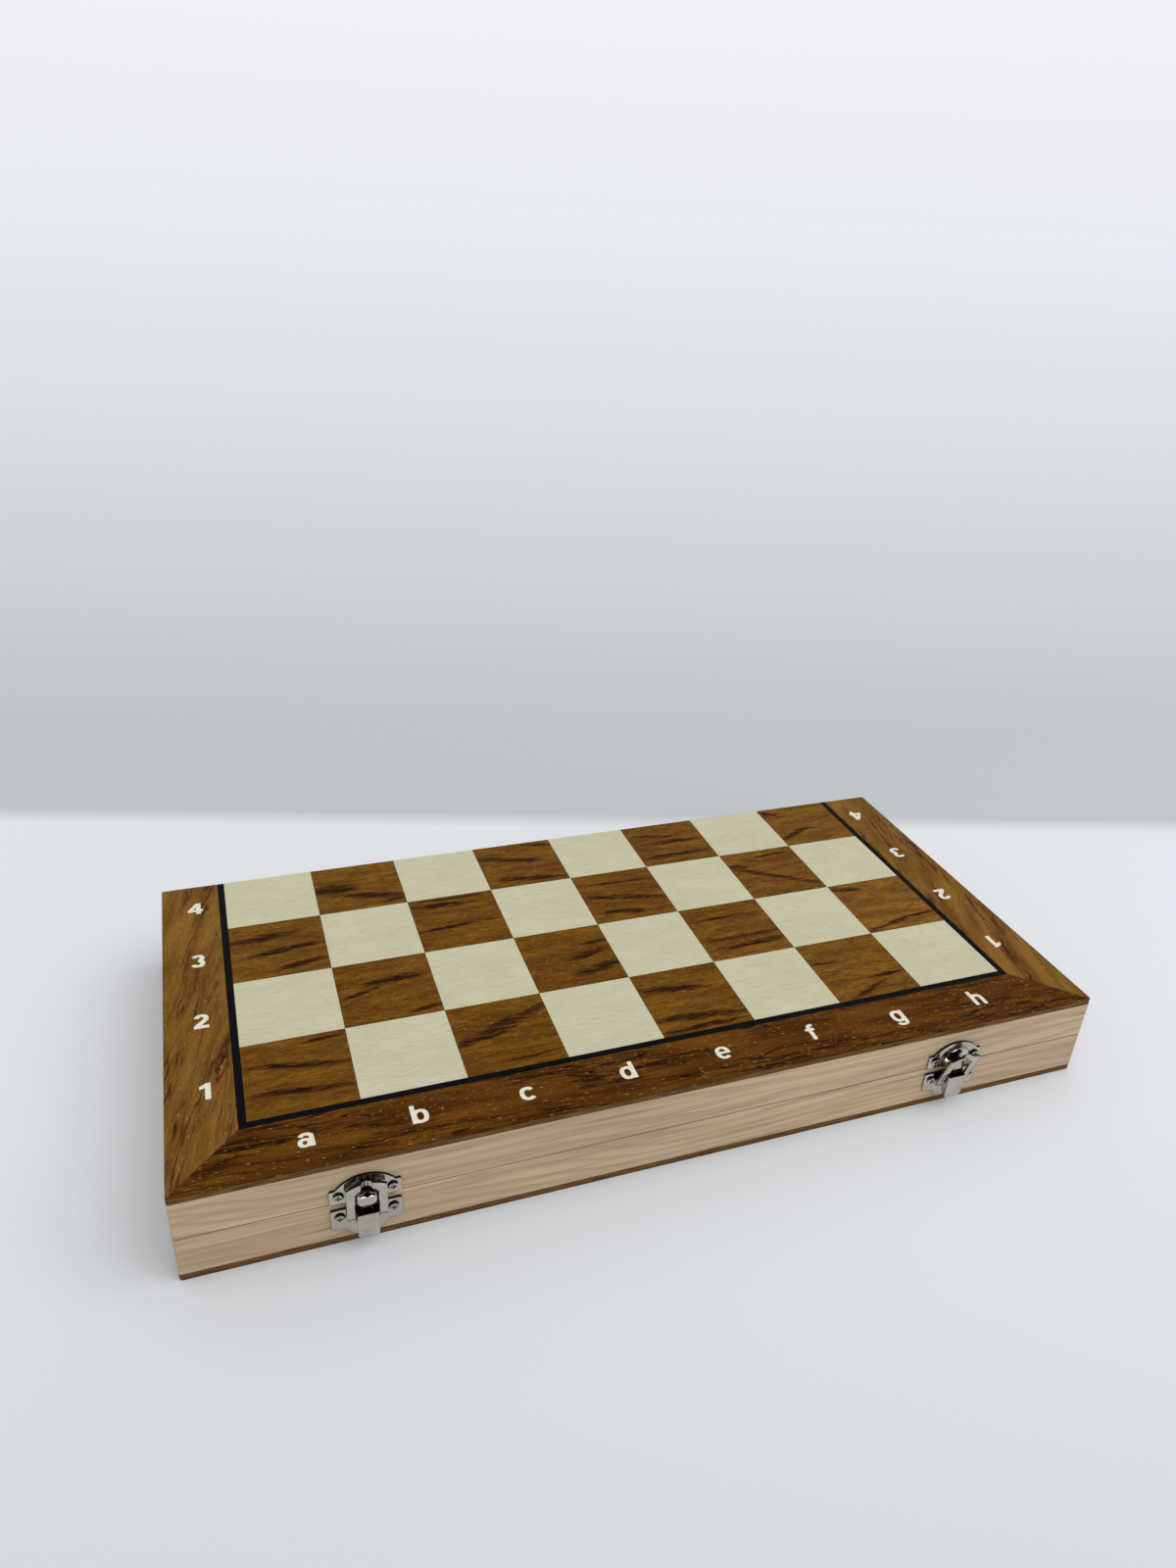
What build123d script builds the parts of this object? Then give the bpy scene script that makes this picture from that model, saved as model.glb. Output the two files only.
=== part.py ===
from build123d import *
from math import atan2, degrees, sqrt
import os

os.makedirs("parts", exist_ok=True)

# Frame: X along the files from a to h, latches on the -Y side, hinges on the +Y side, +Z up.
# The origin is the middle of the folded box's underside. All sizes are in millimetres.

# Playing surface
squares_across = 8
square = 41.6
line_width = 3.0
border_width = 25.6
# The saw cut that parts the board and the eased seam take this off each half's last row
seam_trim = 2.5

# Panels and walls of each half
veneer = 0.5
veneer_joint = 0.1
core = 2.5
panel_corner = 1.2
wall_thickness = 9.0
wall_height = 17.35
wall_corner = 0.8
arris = 0.5
glue_joint = 0.05
parting_gap = 0.3
seam_gap = 0.4

# Butt hinges in the back rims
hinge_x = 127.0
hinge_length = 25.0
leaf_width = 7.4
leaf_thickness = 0.8
barrel_radius = 2.0
hinge_pin_radius = 0.9
knuckles = 5
knuckle_gap = 0.3
barrel_room = 0.3
mortise_room = 0.1
hinge_screw_spacing = 15.0
hinge_screw_head_radius = 1.8
hinge_screw_radius = 1.0
hinge_screw_length = 8.0
hinge_screw_edge = 0.6

# Fits
running_fit = 0.05
pilot_fit = 0.05

# Draw latches on the front walls, heights above the underside
left_latch_x = -128.3
right_latch_x = 125.7
plate = 0.9
sheet = 0.8
keeper_width = 26.2
keeper_bottom = 20.95
ear_height = 6.85
ear_ledge = 2.1
crown_rise = 5.4
crown_rim = 1.4
dome_width = 14.8
dome_top_width = 8.4
dome_rise = 1.5
nose_width = 7.0
nose_reach = 3.8
nose_height = 27.0
nose_drop = 6.4
nose_bend = 1.6
nose_tip_radius = 2.2
keeper_screw_height = 24.8
base_top = 18.0
base_lobe_height = 8.0
base_tongue_height = 3.9
base_lobe_width = 4.9
base_tongue_width = 9.6
base_corner = 2.2
base_screw_height = 14.2
latch_screw_spacing = 19.8
latch_screw_radius = 1.1
latch_screw_head_radius = 2.0
latch_screw_head_height = 0.9
latch_screw_head_round = 0.7
latch_screw_length = 7.0
recess_width = 0.55
recess_span = 2.4
recess_depth = 0.55
lever_width = 7.9
lever_length = 12.0
lever_face_reach = 5.4
lever_tip_reach = 5.0
lever_depth = 4.0
lever_above_pivot = 1.4
lever_tip_corner = 1.2
lever_cheek_sweep = 6.4
lever_pivot_height = 16.6
lever_pivot_reach = 3.1
latch_pin_radius = 0.6
eye_radius = 0.95
bail_pivot_drop = 3.0
bail_pivot_inset = 0.7
side_room = 0.3
bail_arm = 3.2
left_bail_tilt = 6.0
right_bail_tilt = 18.0
bail_shoulder = 16.7
bail_arch = 2.6
bail_sheet = 1.0
window_shoulder = 13.4
window_arch = 2.6
bump_width = 5.4
bump_rise = 1.4
ear_gap = 0.25
ear_radius = 1.1

# Chessmen, stored lying down in the bottom tray: base radius and height of each kind
king_radius = 13.5
king_height = 78.0
queen_radius = 13.0
queen_height = 70.0
bishop_radius = 12.0
bishop_height = 60.0
knight_radius = 12.0
knight_height = 54.0
rook_radius = 12.0
rook_height = 46.0
pawn_radius = 11.0
pawn_height = 41.0
men_gap = 1.2
floor_gap = 0.05
# Their turned outline in shares of the base radius, and heights in shares of the neck's height
man_shoulder = 0.86
man_waist = 0.34
man_collar = 0.56
man_throat = 0.36
man_foot = 0.08
man_waist_height = 0.38
man_bead = 0.05

# Sizes that follow from the ones above
ranks = squares_across // 2
field_width = squares_across * square
board_width = field_width + 2 * (line_width + border_width)
half_depth = border_width + line_width + ranks * square - seam_trim
panel = veneer + core
rim = panel + wall_height
total_height = 2 * rim + parting_gap
mid_height = total_height / 2
front = -half_depth / 2
back = half_depth / 2
left = -board_width / 2
field_front = front + border_width + line_width
tray_width = board_width - 2 * wall_thickness
tray_depth = half_depth - 2 * wall_thickness
hinge_y = back + seam_gap / 2
screw_y = back - leaf_width + hinge_screw_head_radius + hinge_screw_edge

parting_plane = Plane.XY.offset(mid_height)
# On the front wall's face: local x along X, local y up, outwards along the normal
wall_face = Plane(origin=(0, front, 0), x_dir=(1, 0, 0), z_dir=(0, -1, 0))
# Through a latch's middle: local x outwards from the wall, local y up
latch_side = Plane(origin=(0, front, 0), x_dir=(0, -1, 0), z_dir=(-1, 0, 0))
# Across a hinge at its middle: local x towards the back, local y up
hinge_side = Plane(origin=(0, hinge_y, mid_height), x_dir=(0, 1, 0), z_dir=(1, 0, 0))


def make_squares(height, parity):
    """One half's veneer squares of one shade; the last row is shorter by the seam trim."""
    side = square - veneer_joint
    with BuildPart() as veneers:
        with BuildSketch(Plane.XY.offset(height)):
            for file in range(squares_across):
                for row in range(ranks):
                    if (file + row) % 2 != parity:
                        continue
                    trim = seam_trim if row == ranks - 1 else 0
                    x = (file + 0.5) * square - field_width / 2
                    y = field_front + (row + 0.5) * square - trim / 2
                    with Locations((x, y)):
                        Rectangle(side, side - trim)
        extrude(amount=veneer)
    return veneers


def make_band(height, outer, inner, corner):
    """Three mitred veneer strips round the front and sides, between two distances from the edge."""
    joint = veneer_joint / 2
    width = board_width - 2 * outer - 2 * joint
    depth = half_depth - outer - 2 * joint
    with BuildPart() as band:
        with BuildSketch(Plane.XY.offset(height)):
            with Locations((0, back - joint - depth / 2)):
                if corner > 0:
                    RectangleRounded(width, depth, corner)
                else:
                    Rectangle(width, depth)
            with Locations((0, inner / 2)):
                hollow_width = board_width - 2 * inner + 2 * joint
                Rectangle(hollow_width, half_depth - inner + 2 * joint, mode=Mode.SUBTRACT)
            middle = (outer + inner) / 2
            mitre_length = 2 * (inner - outer)
            for direction in (1, -1):
                mitre = direction * 45
                with Locations((direction * (left + middle), front + middle)):
                    Rectangle(mitre_length, veneer_joint, rotation=mitre, mode=Mode.SUBTRACT)
        extrude(amount=veneer)
    return band


# Bottom half: its underside carries ranks 5 to 8, so the shades start the other way round

with BuildPart() as bottom_panel:
    with BuildSketch(Plane.XY.offset(veneer)):
        RectangleRounded(board_width, half_depth, panel_corner)
    extrude(amount=core)
bottom_panel.part.label = "bottom_panel"
export_step(bottom_panel.part, "parts/bottom_panel.step")

bottom_light_squares = make_squares(0, 0)
bottom_light_squares.part.label = "bottom_light_squares"
export_step(bottom_light_squares.part, "parts/bottom_light_squares.step")

bottom_dark_squares = make_squares(0, 1)
bottom_dark_squares.part.label = "bottom_dark_squares"
export_step(bottom_dark_squares.part, "parts/bottom_dark_squares.step")

bottom_black_line = make_band(0, border_width, border_width + line_width, 0)
bottom_black_line.part.label = "bottom_black_line"
export_step(bottom_black_line.part, "parts/bottom_black_line.step")

bottom_border_veneer = make_band(0, 0, border_width, panel_corner)
bottom_border_veneer.part.label = "bottom_border_veneer"
export_step(bottom_border_veneer.part, "parts/bottom_border_veneer.step")


def make_front_wall(screw_height):
    """A front wall from the panel to the parting line, with pilot holes for both latches' screws."""
    with BuildPart() as wall:
        with BuildSketch(Plane.XY.offset(panel)):
            with Locations((0, front + wall_thickness / 2)):
                Rectangle(board_width, wall_thickness)
        extrude(amount=wall_height)
        outer_corners = wall.edges().filter_by(Axis.Z).group_by(Axis.Y)[0]
        fillet(outer_corners, radius=wall_corner)
        outer_rim = wall.faces().sort_by(Axis.Z)[-1].edges().group_by(Axis.Y)[0]
        fillet(outer_rim, radius=arris)
        with BuildSketch(wall_face):
            with Locations((left_latch_x, screw_height), (right_latch_x, screw_height)):
                with GridLocations(latch_screw_spacing, 1, 2, 1):
                    Circle(latch_screw_radius + pilot_fit)
        extrude(amount=-latch_screw_length, mode=Mode.SUBTRACT)
    return wall


with BuildPart() as barrel_groove:
    with BuildSketch(hinge_side):
        Circle(barrel_radius + barrel_room)
    extrude(amount=hinge_length / 2 + mortise_room, both=True)

with BuildPart() as bottom_back_wall:
    with BuildSketch(Plane.XY.offset(panel)):
        with Locations((0, back - wall_thickness / 2)):
            Rectangle(board_width, wall_thickness)
    extrude(amount=wall_height)
    fillet(bottom_back_wall.edges().filter_by(Axis.Z).group_by(Axis.Y)[-1], radius=wall_corner)
    with BuildSketch(Plane.XY.offset(rim)):
        with Locations((-hinge_x, back - leaf_width / 2), (hinge_x, back - leaf_width / 2)):
            Rectangle(hinge_length + 2 * mortise_room, leaf_width + 2 * mortise_room)
    extrude(amount=-leaf_thickness, mode=Mode.SUBTRACT)
    with Locations((-hinge_x, 0, 0), (hinge_x, 0, 0)):
        add(barrel_groove.part, mode=Mode.SUBTRACT)
    with BuildSketch(Plane.XY.offset(rim - leaf_thickness)):
        with Locations((-hinge_x, screw_y), (hinge_x, screw_y)):
            with GridLocations(hinge_screw_spacing, 1, 2, 1):
                Circle(hinge_screw_radius + pilot_fit)
    extrude(amount=-hinge_screw_length, mode=Mode.SUBTRACT)
bottom_back_wall.part.label = "bottom_back_wall"
export_step(bottom_back_wall.part, "parts/bottom_back_wall.step")

bottom_front_wall = make_front_wall(base_screw_height)
bottom_front_wall.part.label = "bottom_front_wall"
export_step(bottom_front_wall.part, "parts/bottom_front_wall.step")


def make_side_wall(x):
    """An end wall, glued between the front and back walls."""
    with BuildPart() as wall:
        with BuildSketch(Plane.XY.offset(panel)):
            with Locations((x, 0)):
                Rectangle(wall_thickness, tray_depth - 2 * glue_joint)
        extrude(amount=wall_height)
        rim_edges = wall.faces().sort_by(Axis.Z)[-1].edges().filter_by(Axis.Y)
        fillet(rim_edges.sort_by(Axis.X)[-1 if x > 0 else 0], radius=arris)
    return wall


bottom_left_wall = make_side_wall(left + wall_thickness / 2)
bottom_left_wall.part.label = "bottom_left_wall"
export_step(bottom_left_wall.part, "parts/bottom_left_wall.step")

bottom_right_wall = make_side_wall(-left - wall_thickness / 2)
bottom_right_wall.part.label = "bottom_right_wall"
export_step(bottom_right_wall.part, "parts/bottom_right_wall.step")

# Top half: the same panel and walls turned over, with ranks 1 to 4 on its face

with BuildPart() as top_panel:
    mirror(bottom_panel.part, about=parting_plane)
top_panel.part.label = "top_panel"
export_step(top_panel.part, "parts/top_panel.step")

top_light_squares = make_squares(total_height - veneer, 1)
top_light_squares.part.label = "top_light_squares"
export_step(top_light_squares.part, "parts/top_light_squares.step")

top_dark_squares = make_squares(total_height - veneer, 0)
top_dark_squares.part.label = "top_dark_squares"
export_step(top_dark_squares.part, "parts/top_dark_squares.step")

with BuildPart() as top_black_line:
    mirror(bottom_black_line.part, about=parting_plane)
top_black_line.part.label = "top_black_line"
export_step(top_black_line.part, "parts/top_black_line.step")

with BuildPart() as top_border_veneer:
    mirror(bottom_border_veneer.part, about=parting_plane)
top_border_veneer.part.label = "top_border_veneer"
export_step(top_border_veneer.part, "parts/top_border_veneer.step")

with BuildPart() as top_front_wall:
    mirror(make_front_wall(total_height - keeper_screw_height).part, about=parting_plane)
top_front_wall.part.label = "top_front_wall"
export_step(top_front_wall.part, "parts/top_front_wall.step")

with BuildPart() as top_back_wall:
    mirror(bottom_back_wall.part, about=parting_plane)
top_back_wall.part.label = "top_back_wall"
export_step(top_back_wall.part, "parts/top_back_wall.step")

with BuildPart() as top_left_wall:
    mirror(bottom_left_wall.part, about=parting_plane)
top_left_wall.part.label = "top_left_wall"
export_step(top_left_wall.part, "parts/top_left_wall.step")

with BuildPart() as top_right_wall:
    mirror(bottom_right_wall.part, about=parting_plane)
top_right_wall.part.label = "top_right_wall"
export_step(top_right_wall.part, "parts/top_right_wall.step")

# Butt hinges: the barrel lies on the back edge of the parting line, so the box opens flat

knuckle_length = (hinge_length - (knuckles - 1) * knuckle_gap) / knuckles
countersink_depth = hinge_screw_head_radius - hinge_screw_radius


def make_leaf(own_knuckles):
    """A lower hinge leaf: a plate in the rim, rolled round the pin at its own knuckles."""
    pitch = knuckle_length + knuckle_gap
    with BuildPart() as leaf:
        with BuildSketch(Plane.XY.offset(rim)):
            with Locations((0, back - (leaf_width + barrel_radius + barrel_room) / 2)):
                Rectangle(hinge_length, leaf_width - barrel_radius - barrel_room)
        extrude(amount=-leaf_thickness)
        for index in own_knuckles:
            x = (index - (knuckles - 1) / 2) * pitch
            with BuildSketch(Plane.XY.offset(rim)):
                with Locations((x, back - (leaf_width + barrel_radius / 2) / 2)):
                    Rectangle(knuckle_length, leaf_width - barrel_radius / 2)
            extrude(amount=-leaf_thickness)
            with BuildSketch(hinge_side.offset(x)):
                Circle(barrel_radius)
            extrude(amount=knuckle_length / 2, both=True)
        with BuildSketch(hinge_side):
            Circle(hinge_pin_radius + running_fit)
        extrude(amount=hinge_length, both=True, mode=Mode.SUBTRACT)
        with Locations(Plane.XY.offset(rim)):
            with Locations((-hinge_screw_spacing / 2, screw_y), (hinge_screw_spacing / 2, screw_y)):
                CounterSinkHole(
                    radius=hinge_screw_radius + pilot_fit,
                    counter_sink_radius=hinge_screw_head_radius + pilot_fit,
                    counter_sink_angle=90,
                )
    return leaf


with BuildPart() as hinge_screw:
    # Revolved about its own axis, with the flat head's top at the rim
    with BuildSketch(Plane.XZ):
        with BuildLine():
            Polyline(
                (0, rim),
                (hinge_screw_head_radius, rim),
                (hinge_screw_radius, rim - countersink_depth),
                (hinge_screw_radius, rim - hinge_screw_length),
                (0, rim - hinge_screw_length - hinge_screw_radius / 2),
                close=True,
            )
        make_face()
    revolve(axis=Axis.Z)
    with BuildSketch(Plane.XY.offset(rim)):
        Rectangle(recess_span, recess_width)
        Rectangle(recess_width, recess_span)
    extrude(amount=-recess_depth, mode=Mode.SUBTRACT)

lower_leaf = make_leaf(range(0, knuckles, 2))
mirrored_leaf = make_leaf(range(1, knuckles, 2))
for side, x in (("left", -hinge_x), ("right", hinge_x)):
    with BuildPart() as hinge_lower_leaf:
        with Locations((x, 0, 0)):
            add(lower_leaf.part)
    hinge_lower_leaf.part.label = f"{side}_hinge_lower_leaf"
    export_step(hinge_lower_leaf.part, f"parts/{side}_hinge_lower_leaf.step")

    with BuildPart() as upper_leaf:
        mirror(mirrored_leaf.part, about=parting_plane)
    with BuildPart() as hinge_upper_leaf:
        with Locations((x, 0, 0)):
            add(upper_leaf.part)
    hinge_upper_leaf.part.label = f"{side}_hinge_upper_leaf"
    export_step(hinge_upper_leaf.part, f"parts/{side}_hinge_upper_leaf.step")

    with BuildPart() as hinge_pin:
        with BuildSketch(hinge_side.offset(x)):
            Circle(hinge_pin_radius)
        extrude(amount=hinge_length / 2, both=True)
    hinge_pin.part.label = f"{side}_hinge_pin"
    export_step(hinge_pin.part, f"parts/{side}_hinge_pin.step")

with BuildPart() as lower_leaf_screws:
    with Locations((-hinge_x, screw_y, 0), (hinge_x, screw_y, 0)):
        with GridLocations(hinge_screw_spacing, 1, 2, 1):
            add(hinge_screw.part)
lower_leaf_screws.part.label = "lower_leaf_screws"
export_step(lower_leaf_screws.part, "parts/lower_leaf_screws.step")

with BuildPart() as upper_leaf_screws:
    mirror(lower_leaf_screws.part, about=parting_plane)
upper_leaf_screws.part.label = "upper_leaf_screws"
export_step(upper_leaf_screws.part, "parts/upper_leaf_screws.step")

# Draw latches, each built in the middle of the front wall and then moved to its place

with BuildPart() as nose:
    # A tongue that leaves the keeper's dome, turns down and hangs in the bail's window
    middle = nose_reach - sheet / 2
    with BuildSketch(latch_side):
        with BuildLine():
            FilletPolyline(
                (plate + sheet / 2, nose_height - sheet / 2),
                (middle, nose_height - sheet / 2),
                (middle, nose_height - nose_drop),
                radius=nose_bend,
            )
        trace(line_width=sheet)
    extrude(amount=nose_width / 2, both=True)
    tip_corners = nose.faces().sort_by(Axis.Z)[0].edges().filter_by(Axis.Y)
    fillet(tip_corners, radius=nose_tip_radius)

with BuildPart() as keeper:
    ear_top = keeper_bottom + ear_height
    crown_half = keeper_width / 2 - ear_ledge
    crown_top = ear_top + crown_rise
    with BuildSketch(wall_face):
        with BuildLine():
            Polyline(
                (-crown_half, ear_top),
                (-keeper_width / 2, ear_top),
                (-keeper_width / 2, keeper_bottom),
                (keeper_width / 2, keeper_bottom),
                (keeper_width / 2, ear_top),
                (crown_half, ear_top),
            )
            ThreePointArc((crown_half, ear_top), (0, crown_top), (-crown_half, ear_top))
        make_face()
        with Locations((-latch_screw_spacing / 2, keeper_screw_height)):
            Circle(latch_screw_radius + pilot_fit, mode=Mode.SUBTRACT)
        with Locations((latch_screw_spacing / 2, keeper_screw_height)):
            Circle(latch_screw_radius + pilot_fit, mode=Mode.SUBTRACT)
    extrude(amount=plate)
    ears = keeper.edges().filter_by(Axis.Y).group_by(Axis.X)
    fillet(ears[0] + ears[-1], radius=wall_corner)
    # The pressed dome that carries the nose
    for height, half, top, shoulder in (
        (plate, dome_width / 2, crown_top - crown_rim, ear_top - crown_rim),
        (plate + dome_rise, dome_top_width / 2, nose_height + sheet, nose_height - dome_rise),
    ):
        with BuildSketch(wall_face.offset(height)):
            with BuildLine():
                Polyline(
                    (-half, shoulder),
                    (-half, keeper_bottom + sheet),
                    (half, keeper_bottom + sheet),
                    (half, shoulder),
                )
                ThreePointArc((half, shoulder), (0, top), (-half, shoulder))
            make_face()
    loft()
    add(nose.part)

with BuildPart() as latch_base:
    lobe = base_lobe_width
    tongue = base_tongue_width / 2
    half = keeper_width / 2
    with BuildSketch(wall_face):
        with BuildLine():
            Polyline(
                (-half, base_top),
                (-half, base_lobe_height),
                (-half + lobe, base_lobe_height),
                (-tongue, base_tongue_height),
                (tongue, base_tongue_height),
                (half - lobe, base_lobe_height),
                (half, base_lobe_height),
                (half, base_top),
                close=True,
            )
        make_face()
    extrude(amount=plate)
    corners = latch_base.edges().filter_by(Axis.Y)
    fillet(corners.group_by(Axis.Z)[0], radius=base_corner)
    corners = latch_base.edges().filter_by(Axis.Y).filter_by(GeomType.LINE)
    lowest, highest = base_lobe_height - sheet, base_lobe_height + sheet
    fillet(corners.filter_by_position(Axis.Z, lowest, highest), radius=base_corner)
    corners = latch_base.edges().filter_by(Axis.Y)
    fillet(corners.group_by(Axis.Z)[-1], radius=wall_corner)
    with BuildSketch(wall_face):
        with Locations((0, base_screw_height)):
            with GridLocations(latch_screw_spacing, 1, 2, 1):
                Circle(latch_screw_radius + pilot_fit)
    extrude(amount=plate, mode=Mode.SUBTRACT)
    # Two ears turned up from the plate carry the lever's pin inside the lever's cheeks
    ear_outer = lever_width / 2 - sheet - ear_gap
    for direction in (-1, 1):
        with BuildSketch(latch_side.offset(direction * (ear_outer - sheet / 2))):
            with Locations((lever_pivot_reach, lever_pivot_height)):
                Circle(ear_radius)
            with Locations((lever_pivot_reach / 2, lever_pivot_height)):
                Rectangle(lever_pivot_reach, 2 * ear_radius)
        extrude(amount=sheet / 2, both=True)
    with BuildSketch(latch_side):
        with Locations((lever_pivot_reach, lever_pivot_height)):
            Circle(latch_pin_radius + running_fit)
    extrude(amount=lever_width, both=True, mode=Mode.SUBTRACT)

bail_pivot_reach = lever_pivot_reach - bail_pivot_inset
bail_pivot_height = lever_pivot_height - bail_pivot_drop

with BuildPart() as lever:
    # A channel open towards the wall: a flat face and two cheeks that run out at the tab
    lever_top = lever_pivot_height + lever_above_pivot
    lever_tip = lever_top - lever_length
    rear = lever_face_reach - lever_depth
    with BuildSketch(latch_side):
        with BuildLine():
            Polyline(
                (rear, lever_tip + lever_depth),
                (rear, lever_top),
                (lever_face_reach, lever_top),
                (lever_tip_reach, lever_tip),
                (lever_tip_reach - sheet, lever_tip),
            )
            cheek_foot = (lever_tip_reach - sheet, lever_tip)
            RadiusArc(cheek_foot, (rear, lever_tip + lever_depth), lever_cheek_sweep)
        make_face()
    extrude(amount=lever_width / 2, both=True)
    fillet(lever.edges().filter_by(Axis.X).group_by(Axis.Z)[-1], radius=sheet)
    with BuildSketch(latch_side):
        with BuildLine():
            Polyline(
                (0, lever_tip - sheet),
                (0, lever_top + sheet),
                (lever_face_reach - sheet, lever_top + sheet),
                (lever_tip_reach - sheet, lever_tip - sheet),
                close=True,
            )
        make_face()
    extrude(amount=lever_width / 2 - sheet, both=True, mode=Mode.SUBTRACT)
    with BuildSketch(wall_face):
        with Locations((0, (lever_top + lever_tip) / 2 + lever_tip_corner)):
            RectangleRounded(lever_width, lever_length + 2 * lever_tip_corner, lever_tip_corner)
    extrude(amount=2 * lever_face_reach, mode=Mode.INTERSECT)
    with BuildSketch(latch_side):
        with Locations((lever_pivot_reach, lever_pivot_height), (bail_pivot_reach, bail_pivot_height)):
            Circle(latch_pin_radius + running_fit)
    extrude(amount=lever_width, both=True, mode=Mode.SUBTRACT)

bail_inner = lever_width / 2 + side_room
bail_outer = bail_inner + bail_arm
bail_origin = (0, front - bail_pivot_reach, bail_pivot_height)
# The bail is made upright: local y runs up its arms from its pin, and its section lies level
bail_face = Plane(origin=bail_origin, x_dir=(1, 0, 0), z_dir=(0, -1, 0))
bail_section = Plane(origin=bail_origin, x_dir=(1, 0, 0), z_dir=(0, 0, 1))

with BuildPart() as bail:
    # The sheet with its pressed bump, cut to the outline and the window
    flat = bail_sheet / 2
    with BuildSketch(bail_section):
        with BuildLine():
            bump = bump_width / 2
            Polyline((-bump, flat), (-bail_outer, flat), (-bail_outer, -flat), (-bump + flat, -flat))
            ThreePointArc((-bump + flat, -flat), (0, bump_rise - flat), (bump - flat, -flat))
            Polyline((bump - flat, -flat), (bail_outer, -flat), (bail_outer, flat), (bump, flat))
            ThreePointArc((bump, flat), (0, bump_rise + flat), (-bump, flat))
        make_face()
    extrude(amount=bail_shoulder + bail_arch)
    with BuildSketch(bail_face.offset(-bail_sheet)):
        with BuildLine():
            Polyline(
                (-bail_outer, bail_shoulder),
                (-bail_outer, -bail_sheet),
                (-bail_inner, -bail_sheet),
                (-bail_inner, window_shoulder),
            )
            window_top = (0, window_shoulder + window_arch)
            ThreePointArc((-bail_inner, window_shoulder), window_top, (bail_inner, window_shoulder))
            Polyline(
                (bail_inner, window_shoulder),
                (bail_inner, -bail_sheet),
                (bail_outer, -bail_sheet),
                (bail_outer, bail_shoulder),
            )
            bail_top = (0, bail_shoulder + bail_arch)
            ThreePointArc((bail_outer, bail_shoulder), bail_top, (-bail_outer, bail_shoulder))
        make_face()
    extrude(amount=bump_rise + 2 * bail_sheet, mode=Mode.INTERSECT)
    # The arms' ends are rolled into eyes for the bail's pin
    for direction in (-1, 1):
        with BuildSketch(latch_side.offset(direction * (bail_inner + bail_arm / 2))):
            with Locations((bail_pivot_reach, bail_pivot_height)):
                Circle(eye_radius)
        extrude(amount=bail_arm / 2, both=True)
    with BuildSketch(latch_side):
        with Locations((bail_pivot_reach, bail_pivot_height)):
            Circle(latch_pin_radius + running_fit)
    extrude(amount=bail_outer, both=True, mode=Mode.SUBTRACT)

with BuildPart() as lever_pin:
    with BuildSketch(latch_side):
        with Locations((lever_pivot_reach, lever_pivot_height)):
            Circle(latch_pin_radius)
    extrude(amount=lever_width / 2, both=True)

with BuildPart() as bail_pin:
    with BuildSketch(latch_side):
        with Locations((bail_pivot_reach, bail_pivot_height)):
            Circle(latch_pin_radius)
    extrude(amount=bail_outer, both=True)

# The left bail leans on its keeper, and the right one hangs loose
for side, x, bail_tilt in (
    ("left", left_latch_x, left_bail_tilt),
    ("right", right_latch_x, right_bail_tilt),
):
    for piece, name in (
        (keeper.part, "keeper"),
        (latch_base.part, "latch_base"),
        (lever.part, "lever"),
        (bail.part.rotate(Axis(bail_origin, (1, 0, 0)), bail_tilt), "bail"),
        (lever_pin.part, "lever_pin"),
        (bail_pin.part, "bail_pin"),
    ):
        with BuildPart() as latch_piece:
            with Locations((x, 0, 0)):
                add(piece)
        latch_piece.part.label = f"{side}_{name}"
        export_step(latch_piece.part, f"parts/{side}_{name}.step")


def make_latch_screws(height):
    """Four round-head cross-recess screws, two on each latch plate."""
    spots = [(left_latch_x, height), (right_latch_x, height)]
    with BuildPart() as screws:
        with BuildSketch(wall_face.offset(plate)):
            with Locations(*spots):
                with GridLocations(latch_screw_spacing, 1, 2, 1):
                    Circle(latch_screw_head_radius)
        extrude(amount=latch_screw_head_height)
        outermost = screws.faces().filter_by(Axis.Y).group_by(Axis.Y)[0]
        fillet(outermost.edges(), radius=latch_screw_head_round)
        with BuildSketch(wall_face.offset(plate + latch_screw_head_height)):
            with Locations(*spots):
                with GridLocations(latch_screw_spacing, 1, 2, 1):
                    Rectangle(recess_span, recess_width)
                    Rectangle(recess_width, recess_span)
        extrude(amount=-recess_depth, mode=Mode.SUBTRACT)
        with BuildSketch(wall_face.offset(plate)):
            with Locations(*spots):
                with GridLocations(latch_screw_spacing, 1, 2, 1):
                    Circle(latch_screw_radius)
        extrude(amount=-latch_screw_length)
    return screws


keeper_screws = make_latch_screws(keeper_screw_height)
keeper_screws.part.label = "keeper_screws"
export_step(keeper_screws.part, "parts/keeper_screws.step")

base_screws = make_latch_screws(base_screw_height)
base_screws.part.label = "base_screws"
export_step(base_screws.part, "parts/base_screws.step")

# Chessmen: each is made standing on +Z first, then laid on the tray's floor


def draw_body(radius, neck):
    """The outline of a foot, a waisted body and a collar, from the axis to the top of the neck."""
    shoulder_point = (man_shoulder * radius, 1.6 * man_foot * neck)
    waist_point = (man_waist * radius, (1 - 2 * man_bead) * neck)
    Polyline((0, 0), (radius, 0), (radius, man_foot * neck), shoulder_point)
    ThreePointArc(shoulder_point, (man_collar * radius, man_waist_height * neck), waist_point)
    Polyline(
        waist_point,
        (man_collar * radius, (1 - 1.5 * man_bead) * neck),
        (man_collar * radius, (1 - 0.5 * man_bead) * neck),
        (man_throat * radius, neck),
    )


with BuildPart() as pawn:
    pawn_head = 0.5 * pawn_radius
    ball_height = pawn_height - pawn_head
    neck_width = man_throat * pawn_radius
    neck = ball_height - sqrt(pawn_head**2 - neck_width**2)
    with BuildSketch(Plane.XZ):
        with BuildLine():
            draw_body(pawn_radius, neck)
            ThreePointArc((neck_width, neck), (pawn_head, ball_height), (0, pawn_height))
            Line((0, pawn_height), (0, 0))
        make_face()
    revolve(axis=Axis.Z)

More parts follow.
